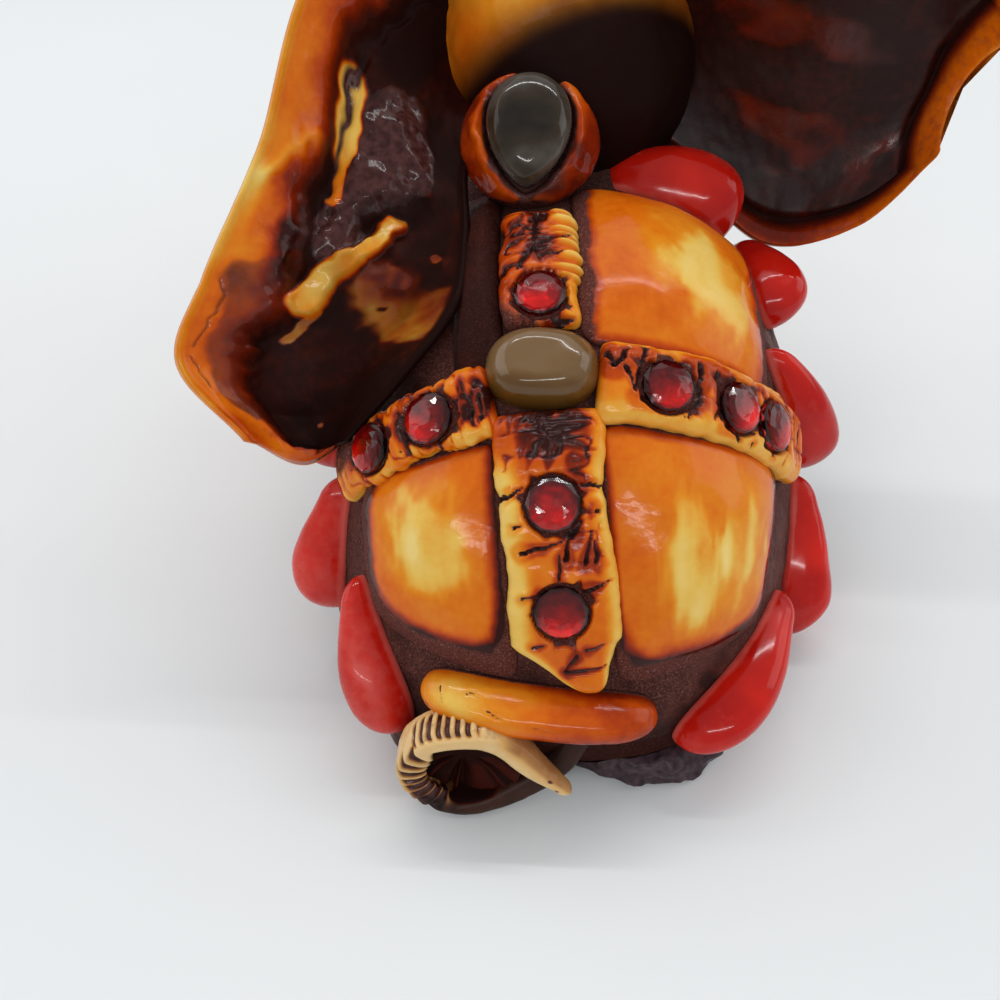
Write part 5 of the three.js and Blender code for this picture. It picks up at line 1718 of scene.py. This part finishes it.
def buildNapeStone(look):
    face = look["depth"] / 2
    rise = look["stoneHeight"] - look["stoneSunk"]
    arc = np.linspace(0, np.pi / 2, look["stoneLevels"])
    share = np.append(1.0, np.maximum(np.cos(arc) ** 0.8, 0.01))[:, None]
    up = np.append(-look["stoneSunk"], rise * np.sin(arc) ** 0.9)[:, None]
    outline = dropletLine(look["stoneWidth"], look["stoneLength"], look["stoneSides"])
    rings = triples(share * outline[:, 0], share * outline[:, 1], face + up)
    # paler towards its rim as a painted rim highlight, darker in the middle
    stain = 0.7 * share ** 2 + 0.1 + 0.3 * softNoise(rings, 4.0, 204)
    addPiece("nape_stone", smoky, skin(fromNape(rings), {"stain": stain}))


buildNapeMount(napeLook)
buildNapeStone(napeLook)
print("nape stone set")

# Legs and feet: rough stumps of dark clay, with profiles as (radius, height) shares
legLook = {
    "spread": 14.5,
    "sides": 96,
    "crumpleReach": 3.5,
    "front": {
        "radius": 9.8,
        "height": 36.0,
        "y": -52.0,
        "rows": 140,
        "seed": 211,
        "profile": [
            (0.95, 0), (1.0, 0.05), (0.96, 0.14), (0.86, 0.34),
            (0.92, 0.6), (0.84, 0.8), (0.56, 0.95), (0.05, 1.0),
        ],
    },
    "hind": {
        "radius": 9.6,
        "height": 5.7,
        "y": 29.5,
        "rows": 60,
        "seed": 221,
        "profile": [(0.94, 0), (1.0, 0.16), (0.97, 0.5), (0.9, 0.86), (0.8, 1.0), (0.05, 1.0)],
    },
}


def buildLeg(name, leg, sign, crumpled=0, look=legLook):
    seed = leg["seed"] + sign
    line = curveThrough([(out, 0, up) for out, up in leg["profile"]], leg["rows"])
    angle = ringAngles(look["sides"])
    out = line[:, 0][:, None] * leg["radius"]
    up = np.clip(line[:, 2], 0, 1)[:, None] * leg["height"]
    rings = triples(out * np.cos(angle), out * np.sin(angle), up)
    offFloor = ease(up, 0.0, 0.8)
    toes = np.maximum(np.cos(3.5 * (angle + np.pi / 2)), 0) ** 2 * (np.cos(angle + np.pi / 2) > 0.2)
    toes = toes * (1 - ease(up, 2.0, 5.5)) * ease(up, 0.05, 1.2)
    lumps = 0.55 * clayNoise(rings, 4.0, seed) + 0.9 * toes
    folds = ease(np.sin(up * 1.5 + 2.5 * softNoise(rings, 6.0, seed + 1)), 0.7, 1.0) * ease(up, 5, 9)
    away = triples(np.cos(angle), np.sin(angle), 0)
    at = np.array([sign * look["spread"], leg["y"], 0])
    rings = rings + away * ((lumps - 0.5 * folds) * offFloor)[..., None] + at
    crumple = np.abs(softNoise(rings, 3.4, seed + 4)) + 0.6 * np.abs(softNoise(rings, 1.5, seed + 5))
    crumple = crumple * crumpled
    rings = rings + away * (1.9 * crumple * offFloor)[..., None]
    rings[..., 0] += crumpled * look["crumpleReach"] * ease(rings[..., 0] - at[0], -2, 8)
    stain = 0.7 + 0.25 * clayNoise(rings, 6.0, seed + 2) - 0.5 * crumple
    grime = 0.3 + 0.3 * clayNoise(rings, 4.0, seed + 3) + 0.4 * folds - 0.3 * crumpled
    addPiece(name, darkClay, skin(rings, {"stain": stain, "plum": 0.75 * crumpled, "grime": grime}))


for side, sign in (("left", 1), ("right", -1)):
    buildLeg(side + "_front_leg", legLook["front"], sign)
    buildLeg(side + "_hind_foot", legLook["hind"], sign, int(side == "right"))
print("legs modelled")

# Curled tail: a thin cup of clay, notched down its left wall, whose end lies across as a ribbon
tailLook = {
    "loopX": 11.3,
    "radius": 7.8,
    "wall": 2.6,
    "tipWall": 4.0,
    "depth": 6.4,
    "tipDepth": 4.0,
    "floor": 1.6,
    "lift": 0.2,
    "rear": 40.0,
    "rows": 520,
    "sides": 72,
    "notches": [-62, -49, -37, -25, -13, 1, 16, 33],  # degrees round the loop
    "pleats": [48, 57, 65, 74, 82, 91, 100, 109, 118],
    "funnel": 2.4,  # how far the notched wall leans into the loop
    "dots": [(0.93, 75), (0.965, 105)],  # share along the tail, degrees round its section
    "bowlSpokes": 150,
    "bowlBack": 8,
    "bowlFront": 60,
}


def tailLine(look, y, z):
    radius = look["radius"]

    def loop(degrees):
        turn = math.radians(degrees)
        return (look["loopX"] + radius * math.cos(turn), y, z + radius * math.sin(turn))

    def beside(outside, back, up):
        return (look["loopX"] - radius * (1 + outside), look["rear"] + radius * back, z + radius * up)

    path = [beside(1.03, -0.32, 0.18), beside(0.65, 0, -0.34), beside(0, 0.26, -0.76)]
    path += [loop(degrees) for degrees in (-100, -60, -20, 20, 60, 100, 130)]
    path += [beside(0.26, 0.59, 0.26), beside(0.86, 0.69, -0.31)]
    return curveThrough(path, look["rows"])


# around gives each row's degrees round the loop, inwards each side's way from the outer face to the inner
def tailCuts(look, around, angle, inwards):
    toDistance = np.pi / 180 * look["radius"]
    cuts = np.zeros((look["rows"], look["sides"]))
    for degrees in look["notches"]:
        wide = 0.18 + 0.85 * inwards
        away = np.abs(around - degrees - 12 * (1 - inwards)) * toDistance
        cuts = np.maximum(cuts, (1 - ease(away, 0.3 * wide, 1.3 * wide)) * (0.5 + 0.5 * inwards))
    cuts = cuts * ease(np.sin(angle), -0.3, 0.3)
    for degrees in look["pleats"]:
        away = np.abs(around - degrees + 5 * (1 - inwards)) * toDistance
        cuts = np.maximum(cuts, (1 - ease(away, 0.1, 0.5)) * (1 - ease(inwards, 0.35, 0.55)))
    return cuts


def tailBowl(look, z):
    radius, spokes = look["radius"], ringAngles(look["bowlSpokes"])
    steps = [np.linspace(0.05, 1, look["bowlBack"]), np.linspace(1, 0.03, look["bowlFront"])]
    reach = np.concatenate(steps)[:, None] * radius
    front = np.repeat([0.0, 1.0], [look["bowlBack"], look["bowlFront"]])[:, None]
    wheel = triples(4 * np.cos(spokes), 4 * np.sin(spokes), 0)
    folds = np.sin(8 * spokes + 5 * softNoise(wheel, 1.6, 234)) * ease(reach, 1.0, 4.0)
    dish = front * (look["floor"] - 0.8 + 0.5 * folds + 1.6 * ease(reach, 3.5, radius))
    up = z + reach * np.sin(spokes)
    disc = triples(look["loopX"] + reach * np.cos(spokes), look["rear"] + look["floor"] / 2 + dish, up)
    # the bowl that closes the loop is painted near black, as shade in the hollow, with faint reddish folds
    marks = {"stain": 0.94 - 0.06 * ease(folds, 0.2, 0.8), "plum": 0.3, "grime": 0.1}
    return skin(disc, {**marks, "shade": 0.95 - 0.13 * ease(folds, 0.3, 1.0)})


def buildTail(look):
    radius = look["radius"]
    y = look["rear"] + look["depth"] / 2
    z = radius + look["wall"] / 2 + look["lift"]
    line = tailLine(look, y, z)
    share = np.linspace(0, 1, look["rows"])[:, None]
    rearward = np.array([0.0, 1.0, 0.0])
    outwards = unit(np.cross(rearward, unit(np.gradient(line, axis=0))))[:, None]
    inLoop = ease(share, 0.15, 0.35) - ease(share, 0.65, 0.85)
    around = np.degrees(np.arctan2(line[:, 2] - z, line[:, 0] - look["loopX"]))[:, None]
    angle = ringAngles(look["sides"])  # 0 faces out of the loop, 90 degrees to the rear
    taper = (1 - 0.5 * ease(share, 0.84, 1.0)) * quarterRound((1 - share) / 0.025, 0.03)
    thick = (look["tipWall"] + (look["wall"] - look["tipWall"]) * inLoop) / 2 * taper
    deep = (look["tipDepth"] + (look["depth"] - look["tipDepth"]) * inLoop) / 2 * taper
    inwards = ease(np.sin(angle / 2), 0.1, 0.8)
    onCup = ease(share, 0.2, 0.3) * (1 - ease(share, 0.72, 0.76))
    cuts = tailCuts(look, around, angle, inwards) * onCup
    funnel = look["funnel"] * ease(around, -85, -60) * (1 - ease(around, 35, 60)) * onCup
    thick = thick + funnel * (np.cos(angle) < 0) * ease(np.sin(angle), -0.2, 0.6)
    outPart = (thick * signedPower(np.cos(angle), 0.7))[..., None]
    rearPart = (deep * signedPower(np.sin(angle), 0.7))[..., None]
    rings = line[:, None] + (outwards * outPart + rearward * rearPart) * (1 - 0.34 * cuts)[..., None]
    rings = rings + outwards * (0.14 * clayNoise(rings, 2.5, 232))[..., None]
    rings[..., 2] = np.maximum(rings[..., 2], 0.02)

    fromAxis = np.hypot(rings[..., 0] - look["loopX"], rings[..., 2] - z)
    ribbon = ease(share, 0.76, 0.82)
    # the inner wall of the loop is painted as shade
    loopShade = 1 - ease(fromAxis, radius - 0.9 - funnel, radius - 0.2 - funnel)
    loopShade = loopShade * (1 - ribbon) * (1 - ease(np.sin(angle), 0.6, 0.95))
    # near the floor and at the root, under the hem, it is darker: stain, a little dust and painted shade
    low = np.maximum((1 - ease(rings[..., 2], 2.0, 6.0)) * (1 - ribbon), 1 - ease(share, 0.3, 0.36))
    crown = ease(around, 42, 60) * (1 - ease(around, 128, 140)) * (1 - ease(inwards, 0.3, 0.5)) * (1 - ribbon)
    flank = ribbon * ease(np.cos(angle), -0.2, 0.6)
    dots = np.zeros_like(cuts)
    for dotShare, dotAngle in look["dots"]:
        dots = np.maximum(dots, bump(share, dotShare, 0.006) * bump(np.degrees(angle), dotAngle, 9))
    stain = 0.14 + 0.12 * clayNoise(rings, 4.0, 233) + 0.75 * low + 0.4 * flank
    marks = {
        "stain": np.clip(stain + 0.6 * ease(cuts, 0.25, 0.7) + 0.7 * dots, 0, 1),
        "plum": np.clip(0.85 * ease(cuts, 0.45, 0.9) + 0.15 * crown + dots, 0, 1),
        "grime": np.clip(0.12 * low + 0.4 * crown, 0, 0.9),
        "shade": np.maximum(loopShade, 0.72 * low),
    }
    addPiece("tail", ivoryClay, joinSkins(skin(rings, marks), tailBowl(look, z)))


buildTail(tailLook)
print("tail coiled")

# Stage: pale floor, soft boxes above and at both sides, two thin light strips, the photograph's camera
stage = {
    "floorSize": 6.0,  # m
    "floorSteps": 20,
    "floor": (0.82, 0.84, 0.84),
    "sky": (0.93, 0.965, 1.0),
    "skyStrength": 0.5,
    "backdrop": (0.86, 0.88, 0.885),
    "lens": 46.8,
    "sensor": 36.0,
    "cameraAt": (-0.4, 141.5, 158.1),
    "cameraWay": (0.049, -0.705, -0.707),
    "lights": {  # place and target in m, size in m, power in W
        "soft_box": ((0.0, -0.42, 0.6), (0, 0, 0.03), (1.6, 0.45), 1.25),
        "side_box_left": ((0.6, -0.1, 0.34), (0, 0.03, 0.0), (0.5, 0.4), 0.72),
        "side_box_right": ((-0.6, -0.1, 0.34), (0, 0.03, 0.0), (0.5, 0.4), 0.85),
        "strip_front": ((0.0, -0.16, 0.5), (0, 0.02, 0.05), (0.6, 0.010), 0.75),
        "strip_rear": ((0.05, 0.5, 0.38), (0, 0.02, 0.05), (0.5, 0.010), 0.8),
    },
}


def addFloor(look):
    half, count = look["floorSize"] / 2, look["floorSteps"]
    mesh = bpy.data.meshes.new("pale_floor")
    steps = np.linspace(-half, half, count + 1)
    points = [(x, y, 0.0) for y in steps for x in steps]
    firsts = [row * (count + 1) + column for row in range(count) for column in range(count)]
    mesh.from_pydata(points, [], [(i, i + 1, i + count + 2, i + count + 1) for i in firsts])
    finish, tree, shader = newFinish("pale floor")
    tones = [(0.3, tuple(0.985 * value for value in look["floor"])), (0.7, look["floor"])]
    fillSockets(tree, shader, {"Base Color": ramp(tree, speckle(tree, 60.0, 2), tones), "Roughness": 0.75})
    mesh.materials.append(finish)
    floor = bpy.data.objects.new("pale_floor", mesh)
    bpy.context.scene.collection.objects.link(floor)


def facing(way):
    return Vector(way).to_track_quat("-Z", "Y").to_euler()


def addLight(name, at, target, size, power):
    data = bpy.data.lights.new(name, "AREA")
    data.shape = "RECTANGLE"
    data.size, data.size_y = size
    data.energy = power
    lamp = bpy.data.objects.new(name, data)
    bpy.context.scene.collection.objects.link(lamp)
    lamp.location = at
    lamp.rotation_euler = facing(np.array(target) - np.array(at))


def addWorld(look):
    world = bpy.data.worlds.new("light box")
    bpy.context.scene.world = world
    world.use_nodes = True
    tree = world.node_tree
    tree.nodes.clear()
    sky = {"Color": (*look["sky"], 1), "Strength": look["skyStrength"]}
    glow = addNode(tree, "ShaderNodeBackground", sky)
    pale = addNode(tree, "ShaderNodeBackground", {"Color": (*look["backdrop"], 1), "Strength": 1.0})
    seen = addNode(tree, "ShaderNodeLightPath").outputs["Is Camera Ray"]
    shown = addNode(tree, "ShaderNodeMixShader", {0: seen, 1: glow.outputs[0], 2: pale.outputs[0]})
    addNode(tree, "ShaderNodeOutputWorld", {"Surface": shown.outputs[0]})


def addCamera(look):
    data = bpy.data.cameras.new("photo_camera")
    data.lens = look["lens"]
    data.sensor_width = look["sensor"]
    data.clip_start = 0.005
    camera = bpy.data.objects.new("photo_camera", data)
    bpy.context.scene.collection.objects.link(camera)
    camera.location = (np.array(look["cameraAt"]) + shift) / 1000
    camera.rotation_euler = facing(look["cameraWay"])
    bpy.context.scene.camera = camera


addFloor(stage)
addWorld(stage)
for name, values in stage["lights"].items():
    addLight(name, *values)
addCamera(stage)
bpy.context.scene.view_settings.view_transform = "Standard"
print("stage lit")
